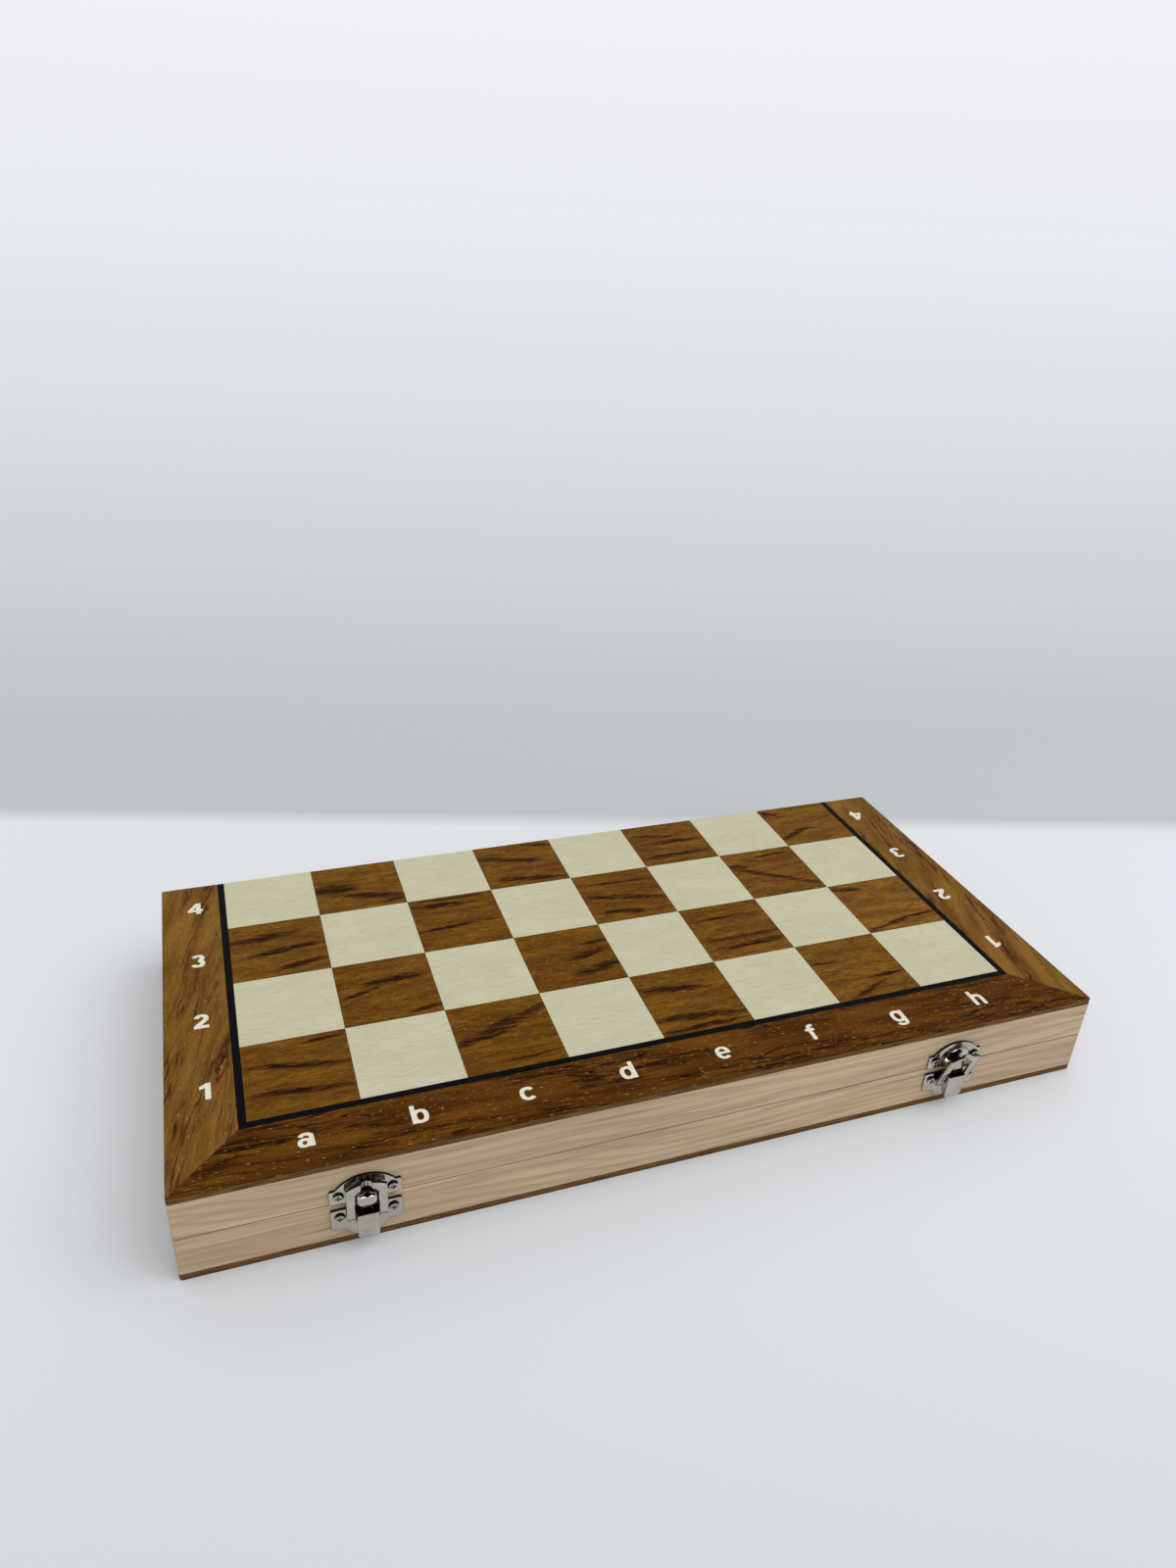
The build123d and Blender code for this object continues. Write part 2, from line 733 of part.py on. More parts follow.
with BuildPart() as rook:
    tower = 0.64 * rook_radius
    parapet = 0.1 * rook_height
    neck = 0.68 * rook_height
    with BuildSketch(Plane.XZ):
        with BuildLine():
            draw_body(rook_radius, neck)
            Polyline(
                (man_throat * rook_radius, neck),
                (tower, neck + parapet),
                (tower, rook_height),
                (0.7 * tower, rook_height),
                (0.7 * tower, rook_height - parapet),
                (0, rook_height - parapet),
                (0, 0),
            )
        make_face()
    revolve(axis=Axis.Z)
    # Four gaps leave the battlements standing
    with BuildSketch(Plane.XY.offset(rook_height)):
        Rectangle(3 * tower, 0.35 * tower)
        Rectangle(0.35 * tower, 3 * tower)
    extrude(amount=-0.6 * parapet, mode=Mode.SUBTRACT)

with BuildPart() as bishop:
    mitre = 0.52 * bishop_radius
    neck = 0.68 * bishop_height
    mitre_height = neck + 0.4 * (bishop_height - neck)
    finial = 0.14 * bishop_radius
    finial_neck = (0.5 * finial, bishop_height - (1 + sqrt(0.75)) * finial)
    with BuildSketch(Plane.XZ):
        with BuildLine():
            draw_body(bishop_radius, neck)
            ThreePointArc((man_throat * bishop_radius, neck), (mitre, mitre_height), finial_neck)
            ThreePointArc(finial_neck, (finial, bishop_height - finial), (0, bishop_height))
            Line((0, bishop_height), (0, 0))
        make_face()
    revolve(axis=Axis.Z)
    # The mitre's slanting cut
    cut = Plane(origin=(mitre, 0, mitre_height + mitre / 2), x_dir=(0, 1, 0), z_dir=(1, 0, 1))
    with BuildSketch(cut):
        Rectangle(2 * mitre, mitre)
    extrude(amount=0.1 * mitre, both=True, mode=Mode.SUBTRACT)

with BuildPart() as queen:
    coronet = 0.62 * queen_radius
    neck = 0.74 * queen_height
    coronet_height = 0.91 * queen_height
    finial = 0.17 * queen_radius
    finial_neck = (0.5 * finial, queen_height - (1 + sqrt(0.75)) * finial)
    with BuildSketch(Plane.XZ):
        with BuildLine():
            draw_body(queen_radius, neck)
            flare = (0.42 * queen_radius, (neck + coronet_height) / 2)
            ThreePointArc((man_throat * queen_radius, neck), flare, (coronet, coronet_height))
            Line((coronet, coronet_height), finial_neck)
            ThreePointArc(finial_neck, (finial, queen_height - finial), (0, queen_height))
            Line((0, queen_height), (0, 0))
        make_face()
    revolve(axis=Axis.Z)

with BuildPart() as king:
    crown = 0.58 * king_radius
    neck = 0.74 * king_height
    cross = 0.1 * king_height
    crown_height = king_height - 1.4 * cross
    cross_bar = 0.3 * cross
    with BuildSketch(Plane.XZ):
        with BuildLine():
            draw_body(king_radius, neck)
            flare = (0.42 * king_radius, (neck + crown_height) / 2)
            ThreePointArc((man_throat * king_radius, neck), flare, (crown, crown_height))
            Polyline(
                (crown, crown_height),
                (0.6 * crown, crown_height + 0.3 * cross),
                (0, crown_height + 0.45 * cross),
                (0, 0),
            )
        make_face()
    revolve(axis=Axis.Z)
    with BuildSketch(Plane.XZ):
        with Locations((0, king_height - cross / 2)):
            Rectangle(cross_bar, cross)
        with Locations((0, king_height - cross / 3)):
            Rectangle(0.8 * cross, cross_bar)
    extrude(amount=cross_bar / 2, both=True)

with BuildPart() as knight:
    blank = 0.42 * knight_radius
    neck = 0.34 * knight_height
    with BuildSketch(Plane.XZ):
        with BuildLine():
            draw_body(knight_radius, neck)
            Polyline((man_throat * knight_radius, neck), (0, neck), (0, 0))
        make_face()
    revolve(axis=Axis.Z)
    # The horse's head is carved from a flat blank: crest, ear, face, muzzle, jaw and chest
    with BuildSketch(Plane.XZ):
        wide = knight_radius
        tall = knight_height
        root = 0.94 * neck
        with BuildLine():
            ThreePointArc((-0.5 * wide, root), (-0.62 * wide, 0.68 * tall), (-0.12 * wide, 0.95 * tall))
            Polyline((-0.12 * wide, 0.95 * tall), (0, tall), (0.12 * wide, 0.9 * tall))
            ThreePointArc((0.12 * wide, 0.9 * tall), (0.5 * wide, 0.8 * tall), (0.84 * wide, 0.64 * tall))
            Polyline((0.84 * wide, 0.64 * tall), (0.8 * wide, 0.55 * tall), (0.6 * wide, 0.53 * tall))
            ThreePointArc((0.6 * wide, 0.53 * tall), (0.4 * wide, 0.6 * tall), (0.2 * wide, 0.59 * tall))
            ThreePointArc((0.2 * wide, 0.59 * tall), (0.42 * wide, 0.47 * tall), (0.5 * wide, root))
            Line((0.5 * wide, root), (-0.5 * wide, root))
        make_face()
    extrude(amount=blank, both=True)


def lay(man, x, wall_y, heading, radius, rest_radius, rest_height):
    """Where a man lies with its base rim and the widest part of its head on the floor.

    A heading of 1 points the head to the back, with the base at wall_y; -1 points it to the front.
    """
    dip = degrees(atan2(radius - rest_radius, rest_height))
    turn = Location((0, 0, 0), (-heading * (90 + dip), 0, 0))
    box = man.part.moved(turn).bounding_box()
    rear = box.min.Y if heading > 0 else box.max.Y
    return Location((x, wall_y - rear, panel + floor_gap - box.min.Z)) * turn


back_rank = ("rook", "knight", "bishop", "queen", "king", "bishop", "knight", "rook")
officers = {
    "rook": (rook, "rooks", rook_radius, tower, rook_height),
    "knight": (knight, "knights", knight_radius, blank, knight_height),
    "bishop": (bishop, "bishops", bishop_radius, mitre, mitre_height),
    "queen": (queen, "queen", queen_radius, coronet, coronet_height),
    "king": (king, "king", king_radius, crown, crown_height),
}
officer_pitch = 2 * king_radius + men_gap
pawn_pitch = 2 * pawn_radius + men_gap
first_officer = -tray_width / 2 + men_gap + king_radius
first_pawn = -tray_width / 2 + men_gap + squares_across * officer_pitch + pawn_radius

for shade, heading in (("light", 1), ("dark", -1)):
    wall_y = -heading * (tray_depth / 2 - men_gap)
    for kind, (man, name, radius, rest_radius, rest_height) in officers.items():
        spots = []
        for place, standing in enumerate(back_rank):
            if standing == kind:
                x = first_officer + place * officer_pitch
                spots.append(lay(man, x, wall_y, heading, radius, rest_radius, rest_height))
        with BuildPart() as men:
            with Locations(*spots):
                add(man.part)
        men.part.label = f"{shade}_{name}"
        export_step(men.part, f"parts/{shade}_{name}.step")

    spots = []
    for column in range(squares_across // 2):
        x = first_pawn + column * pawn_pitch
        for line in range(2):
            y = wall_y + heading * line * (pawn_height + men_gap)
            spots.append(lay(pawn, x, y, heading, pawn_radius, pawn_head, ball_height))
    with BuildPart() as pawns:
        with Locations(*spots):
            add(pawn.part)
    pawns.part.label = f"{shade}_pawns"
    export_step(pawns.part, f"parts/{shade}_pawns.step")
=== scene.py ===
import math

import bpy
import numpy as np
from mathutils import Matrix, Vector


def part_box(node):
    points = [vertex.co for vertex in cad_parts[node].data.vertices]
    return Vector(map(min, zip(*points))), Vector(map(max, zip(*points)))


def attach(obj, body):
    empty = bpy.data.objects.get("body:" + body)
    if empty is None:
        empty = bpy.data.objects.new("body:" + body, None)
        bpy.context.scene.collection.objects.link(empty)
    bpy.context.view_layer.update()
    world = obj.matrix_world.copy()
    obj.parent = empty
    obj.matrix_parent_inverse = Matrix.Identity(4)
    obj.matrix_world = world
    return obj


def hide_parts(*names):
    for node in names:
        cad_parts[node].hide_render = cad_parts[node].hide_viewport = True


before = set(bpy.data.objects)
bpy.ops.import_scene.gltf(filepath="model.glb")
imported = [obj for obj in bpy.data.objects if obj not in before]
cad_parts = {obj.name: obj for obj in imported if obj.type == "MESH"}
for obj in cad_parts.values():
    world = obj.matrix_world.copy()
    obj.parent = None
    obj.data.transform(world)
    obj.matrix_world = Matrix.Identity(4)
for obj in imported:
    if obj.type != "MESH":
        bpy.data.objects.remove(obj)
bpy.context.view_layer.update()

# Playing panels: two sheets of hardboard, pressed from wood fibre, with a raw inner face.
# Each is glued to the rims of its four walls, and its sawn edge shows all round the box.
MM = 0.001


def linear(code):
    """A hex colour as linear values with full alpha, each channel by the sRGB curve."""
    srgb = np.array([int(code[i : i + 2], 16) for i in (1, 3, 5)]) / 255
    return (*np.where(srgb <= 0.04045, srgb / 12.92, ((srgb + 0.055) / 1.055) ** 2.4), 1.0)


def start_material(name):
    """A new material, its node tree and its Principled shader."""
    material = bpy.data.materials.new(name)
    material.use_nodes = True
    return material, material.node_tree, material.node_tree.nodes["Principled BSDF"]


def add(tree, kind, sockets, **settings):
    """One shader node: settings are its own properties, and each socket takes a value or a link."""
    node = tree.nodes.new("ShaderNode" + kind)
    for name, value in settings.items():
        setattr(node, name, value)
    for key, value in sockets.items():
        if isinstance(value, bpy.types.NodeSocket):
            tree.links.new(value, node.inputs[key])
        else:
            node.inputs[key].default_value = value
    return node


def grain(tree, place, size, detail=4.0, turn=0.0):
    """Noise drawn out so that its features have a size in millimetres along X, Y and Z."""
    drawn = add(tree, "Mapping", {"Vector": place, "Rotation": (0, 0, turn),
                                  "Scale": [side * MM for side in size]}, vector_type="TEXTURE")
    return add(tree, "TexNoise", {"Vector": drawn.outputs[0], "Scale": 1.0, "Detail": detail}).outputs[0]


def mixed(tree, factor, low, high, start=0.0, end=1.0):
    """The colour that goes from low to high while the factor goes from start to end."""
    share = add(tree, "MapRange", {"Value": factor, "From Min": start, "From Max": end})
    return add(tree, "Mix", {0: share.outputs[0], 6: low, 7: high}, data_type="RGBA").outputs[2]


def relief(tree, shader, height, depth, ease):
    """Bump of a depth in millimetres, over edges that are rounded by eye to a radius."""
    rounded = add(tree, "Bevel", {"Radius": ease * MM}, samples=4)
    bump = add(tree, "Bump", {"Distance": depth * MM, "Height": height, "Normal": rounded.outputs[0]})
    tree.links.new(bump.outputs[0], shader.inputs["Normal"])


def finish_nodes(material, *nodes):
    """Give CAD nodes a material in place of the one that they came with."""
    for node in nodes:
        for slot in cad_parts[node].material_slots:
            slot.material = material


hardboard, tree, shader = start_material("hardboard, pressed wood fibre")
place = add(tree, "TexCoord", {}).outputs["Object"]
# Fibres lie flat in the board: its sawn edge shows them as level lines, and its face is mottled
layers = grain(tree, place, (9, 9, 0.5))
fibres = grain(tree, place, (2.6, 1.0, 2.0), 4.0)
mottle = grain(tree, place, (40, 40, 40), 2.0)
sawn = mixed(tree, layers, linear("#4c3519"), linear("#735431"), 0.35, 0.65)
smooth = mixed(tree, mottle, linear("#5d452a"), linear("#6b5133"), 0.35, 0.65)
smooth = mixed(tree, fibres, linear("#4f3a22"), smooth, 0.3, 0.5)
level = add(tree, "SeparateXYZ", {0: add(tree, "TexCoord", {}).outputs["Normal"]})
level = add(tree, "Math", {0: level.outputs[2]}, operation="ABSOLUTE").outputs[0]
tree.links.new(mixed(tree, level, sawn, smooth, 0.4, 0.6), shader.inputs["Base Color"])
relief(tree, shader, fibres, 0.1, 0.3)
shader.inputs["Roughness"].default_value = 0.8
shader.inputs["Specular IOR Level"].default_value = 0.1
finish_nodes(hardboard, "top_panel", "bottom_panel")

# Walls: planed pine strips, butted and glued at the corners, with a clear matt lacquer.
# The grain runs along each strip, so growth rings make long soft lines and arcs on the ends.
PITH_HEIGHT = -46 * MM
PITH_SPREAD = 0.35
RING_WIDTH = 4.2 * MM
RING_BEND = 26 * MM


def pine(name, turn):
    """Planed pine whose grain runs along X, or along Y for a quarter turn.

    Growth rings are a saw wave of the distance from a pith line that lies below the strip, with
    the way across the strip shortened and the distance bent by slow noise. Long fine lines and a
    few brown ones drift over them. Narrow places behind the fittings, with other pieces within
    6 mm on most sides, are painted dark as shade.
    """
    material, tree, shader = start_material(name)
    place = add(tree, "TexCoord", {}).outputs["Object"]
    turned = add(tree, "Mapping", {"Vector": place, "Rotation": (0, 0, turn)}, vector_type="TEXTURE")
    along = turned.outputs[0]
    bend = grain(tree, along, (140, 30, 30), 1.0)
    parts = add(tree, "SeparateXYZ", {0: along})
    depth = add(tree, "Math", {0: parts.outputs[2], 1: PITH_HEIGHT}, operation="SUBTRACT")
    spread = add(tree, "Math", {0: parts.outputs[1], 1: PITH_SPREAD}, operation="MULTIPLY")
    square = add(tree, "Math", {0: spread.outputs[0], 1: 2.0}, operation="POWER")
    radius = add(tree, "Math", {0: depth.outputs[0], 1: depth.outputs[0], 2: square.outputs[0]},
                 operation="MULTIPLY_ADD")
    radius = add(tree, "Math", {0: radius.outputs[0]}, operation="SQRT")
    bent = add(tree, "Math", {0: bend, 1: RING_BEND, 2: radius.outputs[0]}, operation="MULTIPLY_ADD")
    rings = add(tree, "Math", {0: bent.outputs[0], 1: RING_WIDTH}, operation="DIVIDE")
    saw = add(tree, "Math", {0: rings.outputs[0]}, operation="FRACT")
    late = add(tree, "MapRange", {"Value": saw.outputs[0], "From Min": 0.4, "From Max": 1.0, "To Max": 0.6},
               interpolation_type="SMOOTHSTEP")
    fibre = grain(tree, along, (42, 0.8, 0.8))
    patch = grain(tree, along, (120, 12, 6), 2.0)
    brown = grain(tree, along, (55, 2.4, 1.2), 2.0)
    base = mixed(tree, patch, linear("#c4ad8e"), linear("#ad9679"), 0.35, 0.7)
    ringed = add(tree, "Mix", {0: late.outputs[0], 6: base, 7: linear("#a38b6e")}, data_type="RGBA")
    drawn = mixed(tree, fibre, ringed.outputs[2], linear("#8e7459"), 0.5, 0.95)
    marked = mixed(tree, brown, drawn, linear("#80634a"), 0.6, 0.78)
    # Painted shade: within 6 mm of other pieces the wood is darkened
    painted_shade_ao = add(tree, "AmbientOcclusion", {"Distance": 6 * MM}, samples=6).outputs["AO"]
    tree.links.new(mixed(tree, painted_shade_ao, linear("#1c140c"), marked, 0.2, 0.5), shader.inputs["Base Color"])
    relief(tree, shader, fibre, 0.06, 0.5)
    shader.inputs["Roughness"].default_value = 0.55
    shader.inputs["Specular IOR Level"].default_value = 0.25
    return material


finish_nodes(pine("pine, planed, grain along X", 0.0),
             "top_front_wall", "top_back_wall", "bottom_front_wall", "bottom_back_wall")
finish_nodes(pine("pine, planed, grain along Y", math.pi / 2),
             "top_left_wall", "top_right_wall", "bottom_left_wall", "bottom_right_wall")

# Playing squares: sliced veneer of two shades, one leaf to a square, butted edge to edge, rolled
# on to the panel and sealed matt. Each leaf has its grain along the rank.
SQUARE = 41.6 * MM
ACROSS, RANKS = 8, 4
# The last rank is narrower by what the seam takes, and the border and black line lie in front
SEAM_TRIM = 2.5 * MM
FRONT_MARGIN = 28.6 * MM
FIELD_LEFT = -ACROSS / 2 * SQUARE
FIELD_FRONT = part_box("top_panel")[0].y + FRONT_MARGIN
# Leaves above this height show their faces upwards, and those below it downwards
MIDDLE_HEIGHT = 20 * MM
# In the noise a leaf's number, which is its third value, counts in millimetres
LEAF_SCALE = (1.0, 1.0, MM)


def square_leaves(node, body, parity, material, figures=None):
    """One veneer leaf for each square of a shade, all in one piece in the place of a CAD node.

    A leaf is a frustum: its face is drawn in by the ease of its edge, and its glued side has the
    full width less half a joint. Each corner keeps its distance from the leaf's own middle, with
    the leaf's number as third value, and the middle, slope and reach of its three dark streaks.
    """
    low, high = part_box(node)
    face_up = high.z > MIDDLE_HEIGHT
    face, glued = (high.z, low.z) if face_up else (low.z, high.z)
    joint, ease = 0.01 * MM, 0.02 * MM
    files, rows = np.divmod(np.arange(ACROSS * RANKS), RANKS)
    chosen = (files + rows) % 2 == parity
    files, rows = files[chosen], rows[chosen]
    trim = np.where(rows == RANKS - 1, SEAM_TRIM, 0.0)
    middle = np.stack([FIELD_LEFT + (files + 0.5) * SQUARE,
                       FIELD_FRONT + (rows + 0.5) * SQUARE - trim / 2], -1)
    half = np.stack([np.full(len(files), SQUARE / 2), (SQUARE - trim) / 2], -1) - joint
    ring = np.array([(-1, -1), (1, -1), (1, 1), (-1, 1)])
    local = np.concatenate([ring * (half - ease)[:, None], ring * half[:, None]], 1)
    height = np.broadcast_to(np.repeat([face, glued], 4)[:, None], (len(files), 8, 1))
    points = np.concatenate([local + middle[:, None], height], -1).reshape(-1, 3)
    box = np.array([(0, 1, 2, 3), (7, 6, 5, 4), (4, 5, 1, 0), (5, 6, 2, 1), (6, 7, 3, 2), (7, 4, 0, 3)])
    if not face_up:
        box = box[:, ::-1]
    faces = (box + 8 * np.arange(len(files))[:, None, None]).reshape(-1, 4)
    mesh = bpy.data.meshes.new(node + "_leaves")
    mesh.from_pydata(points.tolist(), [], faces.tolist())
    # Uneven steps, so that no two leaves cut the noise in the same place
    file_step, rank_step = 9.7, 3.1
    number = np.broadcast_to((files * file_step + rows * rank_step)[:, None, None], (len(files), 8, 1))
    layers = {"leaf": np.concatenate([local, number], -1)}
    if figures:
        table = np.array([figures["abcdefgh"[f] + str(r + 1)] for f, r in zip(files, rows)])
        streaks = table[:, 1:].reshape(len(files), 3, 5) * (MM, MM, 1, MM, MM)
        for i, streak in enumerate(streaks.transpose(1, 0, 2), 1):
            layers[f"streak_{i}"] = np.repeat(streak[:, :3], 8, 0)
            layers[f"reach_{i}"] = np.repeat(np.c_[streak[:, 3:], table[:, 0]], 8, 0)
    for name, values in layers.items():
        layer = mesh.attributes.new(name, "FLOAT_VECTOR", "POINT")
        layer.data.foreach_set("vector", np.ascontiguousarray(values, np.float32).ravel())
    mesh.materials.append(material)
    piece = bpy.data.objects.new(node + "_leaves", mesh)
    bpy.context.scene.collection.objects.link(piece)
    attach(piece, body)
    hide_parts(node)


# Light leaves: bleached maple, pale cream. The grain shows as fine short wavy lines, less than a
# millimetre apart and hardly darker than the rest.
maple, tree, shader = start_material("maple veneer, bleached and sealed matt")
leaf = add(tree, "Attribute", {}, attribute_name="leaf").outputs["Vector"]
spaced = add(tree, "Mapping", {"Vector": leaf, "Scale": LEAF_SCALE}).outputs[0]
wander = grain(tree, spaced, (45, 16, 1), 1.0)
parts = add(tree, "SeparateXYZ", {0: spaced})
bent = add(tree, "Math", {0: wander, 1: 10 * MM, 2: parts.outputs[1]}, operation="MULTIPLY_ADD")
flow = add(tree, "CombineXYZ", {0: parts.outputs[0], 1: bent.outputs[0], 2: parts.outputs[2]}).outputs[0]
dashes = grain(tree, flow, (6, 0.75, 1), 3.0)
patches = grain(tree, flow, (22, 8, 1), 1.0)
ground = mixed(tree, patches, linear("#bfbb9c"), linear("#c4c0a2"), 0.35, 0.65)
tree.links.new(mixed(tree, dashes, linear("#b6b293"), ground, 0.32, 0.48), shader.inputs["Base Color"])
relief(tree, shader, dashes, 0.05, 0.15)
shader.inputs["Roughness"].default_value = 0.6
shader.inputs["Specular IOR Level"].default_value = 0.08


def contours(tree, place, size, width, turn=0.0):
    """Long thin wavy lines: 1 where drawn-out noise passes its middle value, 0 a width from it."""
    off = add(tree, "Math", {0: grain(tree, place, size, 2.0, turn), 1: 0.5}, operation="SUBTRACT")
    off = add(tree, "Math", {0: off.outputs[0]}, operation="ABSOLUTE")
    return add(tree, "MapRange", {"Value": off.outputs[0], "From Max": width, "To Min": 1.0,
                                  "To Max": 0.0}, interpolation_type="SMOOTHSTEP").outputs[0]


# Dark leaves: walnut, golden brown and satin smooth. Dark heartwood streaks cross each leaf
# aslant, made of short lines that keep to the grain, and pale glints are painted where the small
# open pores catch the light. The lines and pores are drawn about twice as wide as the real ones,
# to show at all.
walnut, tree, shader = start_material("walnut veneer, sealed matt")
leaf = add(tree, "Attribute", {}, attribute_name="leaf").outputs["Vector"]
spaced = add(tree, "Mapping", {"Vector": leaf, "Scale": LEAF_SCALE}).outputs[0]
wander = grain(tree, spaced, (30, 9, 1), 2.0)
parts = add(tree, "SeparateXYZ", {0: spaced})
swing = add(tree, "Math", {0: wander, 1: 0.5}, operation="SUBTRACT")
bent = add(tree, "Math", {0: swing.outputs[0], 1: 4 * MM, 2: parts.outputs[1]}, operation="MULTIPLY_ADD")
flow = add(tree, "CombineXYZ", {0: parts.outputs[0], 1: bent.outputs[0], 2: parts.outputs[2]}).outputs[0]
figure = 0.0
for i in "123":
    streak = add(tree, "Attribute", {}, attribute_name="streak_" + i).outputs["Vector"]
    streak = add(tree, "SeparateXYZ", {0: streak})
    reach = add(tree, "Attribute", {}, attribute_name="reach_" + i).outputs["Vector"]
    reach = add(tree, "SeparateXYZ", {0: reach})
    aside = add(tree, "Math", {0: parts.outputs[0], 1: streak.outputs[0]}, operation="SUBTRACT")
    level = add(tree, "Math", {0: aside.outputs[0], 1: streak.outputs[2], 2: streak.outputs[1]},
                operation="MULTIPLY_ADD")
    off = add(tree, "Math", {0: bent.outputs[0], 1: level.outputs[0]}, operation="SUBTRACT")
    share = [add(tree, "Math", {0: span.outputs[0], 1: reach.outputs[k]}, operation="DIVIDE").outputs[0]
             for k, span in enumerate((aside, off))]
    share = add(tree, "CombineXYZ", {0: share[0], 1: share[1]})
    away = add(tree, "VectorMath", {0: share.outputs[0]}, operation="LENGTH")
    band = add(tree, "MapRange", {"Value": away.outputs["Value"], "From Min": 0.3, "From Max": 1.35,
                                  "To Min": 1.0, "To Max": 0.0}, interpolation_type="SMOOTHSTEP")
    figure = add(tree, "Math", {0: band.outputs[0], 1: figure}, operation="MAXIMUM").outputs[0]
tone = reach.outputs[2]
satin = grain(tree, flow, (24, 5, 1), 2.0)
deep = mixed(tree, tone, linear("#5d3806"), linear("#744b18"))
pale = mixed(tree, tone, linear("#774d0a"), linear("#8c6122"))
base = mixed(tree, satin, deep, pale, 0.36, 0.62)
lines = contours(tree, flow, (24, 2.8, 1), 0.05)
hairs = contours(tree, flow, (11, 1.1, 1), 0.09)
breaks = grain(tree, flow, (9, 0.9, 1), 3.0)
torn = add(tree, "MapRange", {"Value": breaks, "From Min": 0.36, "From Max": 0.54, "To Min": 0.3})
band = add(tree, "Math", {0: torn.outputs[0], 1: figure}, operation="MULTIPLY").outputs[0]
inked = add(tree, "Math", {0: lines, 1: hairs}, operation="MAXIMUM").outputs[0]
strength = add(tree, "MapRange", {"Value": band, "To Min": 0.3, "To Max": 1.3, "From Max": 0.7})
strength = add(tree, "Math", {0: inked, 1: strength.outputs[0]}, operation="MULTIPLY").outputs[0]
fibre = grain(tree, flow, (5, 0.7, 1), 3.0)
# Painted highlights: pale golden glints where the open pores catch the light
pore_glints = grain(tree, flow, (2.0, 0.6, 1), 1.0)
pores = mixed(tree, fibre, linear("#54330a"), base, 0.32, 0.5)
lit = mixed(tree, pore_glints, pores, linear("#957036"), 0.64, 0.76)
banded = mixed(tree, band, lit, linear("#361a04"))
tree.links.new(mixed(tree, strength, banded, linear("#220e02")), shader.inputs["Base Color"])
relief(tree, shader, fibre, 0.04, 0.15)
shader.inputs["Roughness"].default_value = 0.55
shader.inputs["Specular IOR Level"].default_value = 0.03

# Tone of each leaf from golden to pale, then for its three streaks the middle in mm from the
# leaf's own middle, the slope, and half the length and width in mm
TOP_FIGURES = {
    "a1": (0.30, 1, 4, -0.18, 21, 1.8, 0, -10, -0.10, 21, 1.9, 12, 17, 0.00, 9, 1.0),
    "c1": (0.12, 0, 5, 0.40, 22, 3.4, -4, 2, 0.25, 11, 3.0, 5, -15, 0.05, 15, 1.0),
    "e1": (0.22, -4, 8, -0.15, 16, 2.0, 0, -12, -0.10, 21, 2.3, 0, -18, 0.00, 20, 1.6),
    "g1": (0.60, -12, 6, -0.10, 8, 1.0, -2, -16, 0.36, 11, 1.3, 12, -8, 0.05, 10, 1.2),
    "b2": (0.25, 5, 6, 0.06, 15, 2.5, -11, 0, 0.32, 9, 1.6, 14, -17, 0.12, 9, 1.3),
    "d2": (0.15, 8, 0, 0.15, 10, 2.0, 15, 8, 0.00, 7, 1.4, 10, -11, 0.22, 14, 3.2),
    "f2": (0.42, -3, 10, -0.03, 15, 1.2, 2, -6, 0.00, 19, 1.4, 0, -13, 0.04, 20, 2.2),
    "h2": (1.00, -13, 16, -0.10, 8, 2.2, 5, -14, 0.20, 18, 1.2, -15, -18, 0.20, 6, 0.9),
    "a3": (0.42, -6, 9, 0.10, 16, 2.6, 3, -2, 0.12, 18, 2.0, 9, -14, 0.15, 13, 1.8),
    "c3": (0.15, -6, 14, -0.05, 16, 2.0, 0, -4, 0.08, 22, 1.3, 0, 19, 0.00, 16, 1.0),
    "e3": (0.22, 1, -2, -0.20, 21, 2.0, -6, -14, -0.15, 14, 1.8, 0, 11, -0.06, 18, 0.9),
    "g3": (0.40, -2, -3, -0.60, 20, 2.2, -15, 8, -0.20, 6, 1.6, 8, 15, 0.00, 12, 0.7),
    "b4": (0.40, -12, 0, -0.05, 11, 4.4, 5, -9, -0.20, 18, 2.4, 15, -15, 0.15, 7, 1.6),
    "d4": (0.28, -5, 5, -0.25, 18, 2.3, 0, -14, -0.12, 21, 1.8, 13, 16, -0.12, 10, 1.7),
    "f4": (0.28, -6, 8, -0.18, 13, 1.2, 2, 1, 0.00, 17, 1.5, 0, -12, 0.03, 20, 2.0),
    "h4": (0.66, -10, -8, 0.45, 10, 2.0, 0, -5, -0.10, 5, 1.1, -16, 15, -0.40, 6, 1.4),
}
# The lower face isn't seen from the front, so its streaks are drawn at random: one about 10 mm
# above the leaf's middle, one across it and one about 12 mm below
rng = np.random.default_rng(11)
drawn_at_random = {}
for name in [letter + rank for letter in "abcdefgh" for rank in "1234"]:
    row = [rng.uniform(0.1, 0.7)]
    for height in (10, 0, -12):
        row += [rng.uniform(-8, 8), height + rng.normal(0, 2.5), rng.normal(0, 0.2),
                rng.uniform(8, 20), rng.uniform(0.9, 2.6)]
    drawn_at_random[name] = row
square_leaves("top_light_squares", "top_half", 1, maple)
square_leaves("top_dark_squares", "top_half", 0, walnut, TOP_FIGURES)
square_leaves("bottom_light_squares", "bottom_half", 0, maple)
square_leaves("bottom_dark_squares", "bottom_half", 1, walnut, drawn_at_random)

# Black line: a strip of dyed veneer, let in between the squares and the border and mitred
ebony, tree, shader = start_material("veneer, dyed black")
place = add(tree, "TexCoord", {}).outputs["Object"]
fibre = grain(tree, place, (4, 4, 1), 3.0)
tree.links.new(mixed(tree, fibre, linear("#020304"), linear("#080a0d"), 0.35, 0.7),
               shader.inputs["Base Color"])
relief(tree, shader, fibre, 0.03, 0.15)
shader.inputs["Roughness"].default_value = 0.55
shader.inputs["Specular IOR Level"].default_value = 0.04
finish_nodes(ebony, "top_black_line", "bottom_black_line")
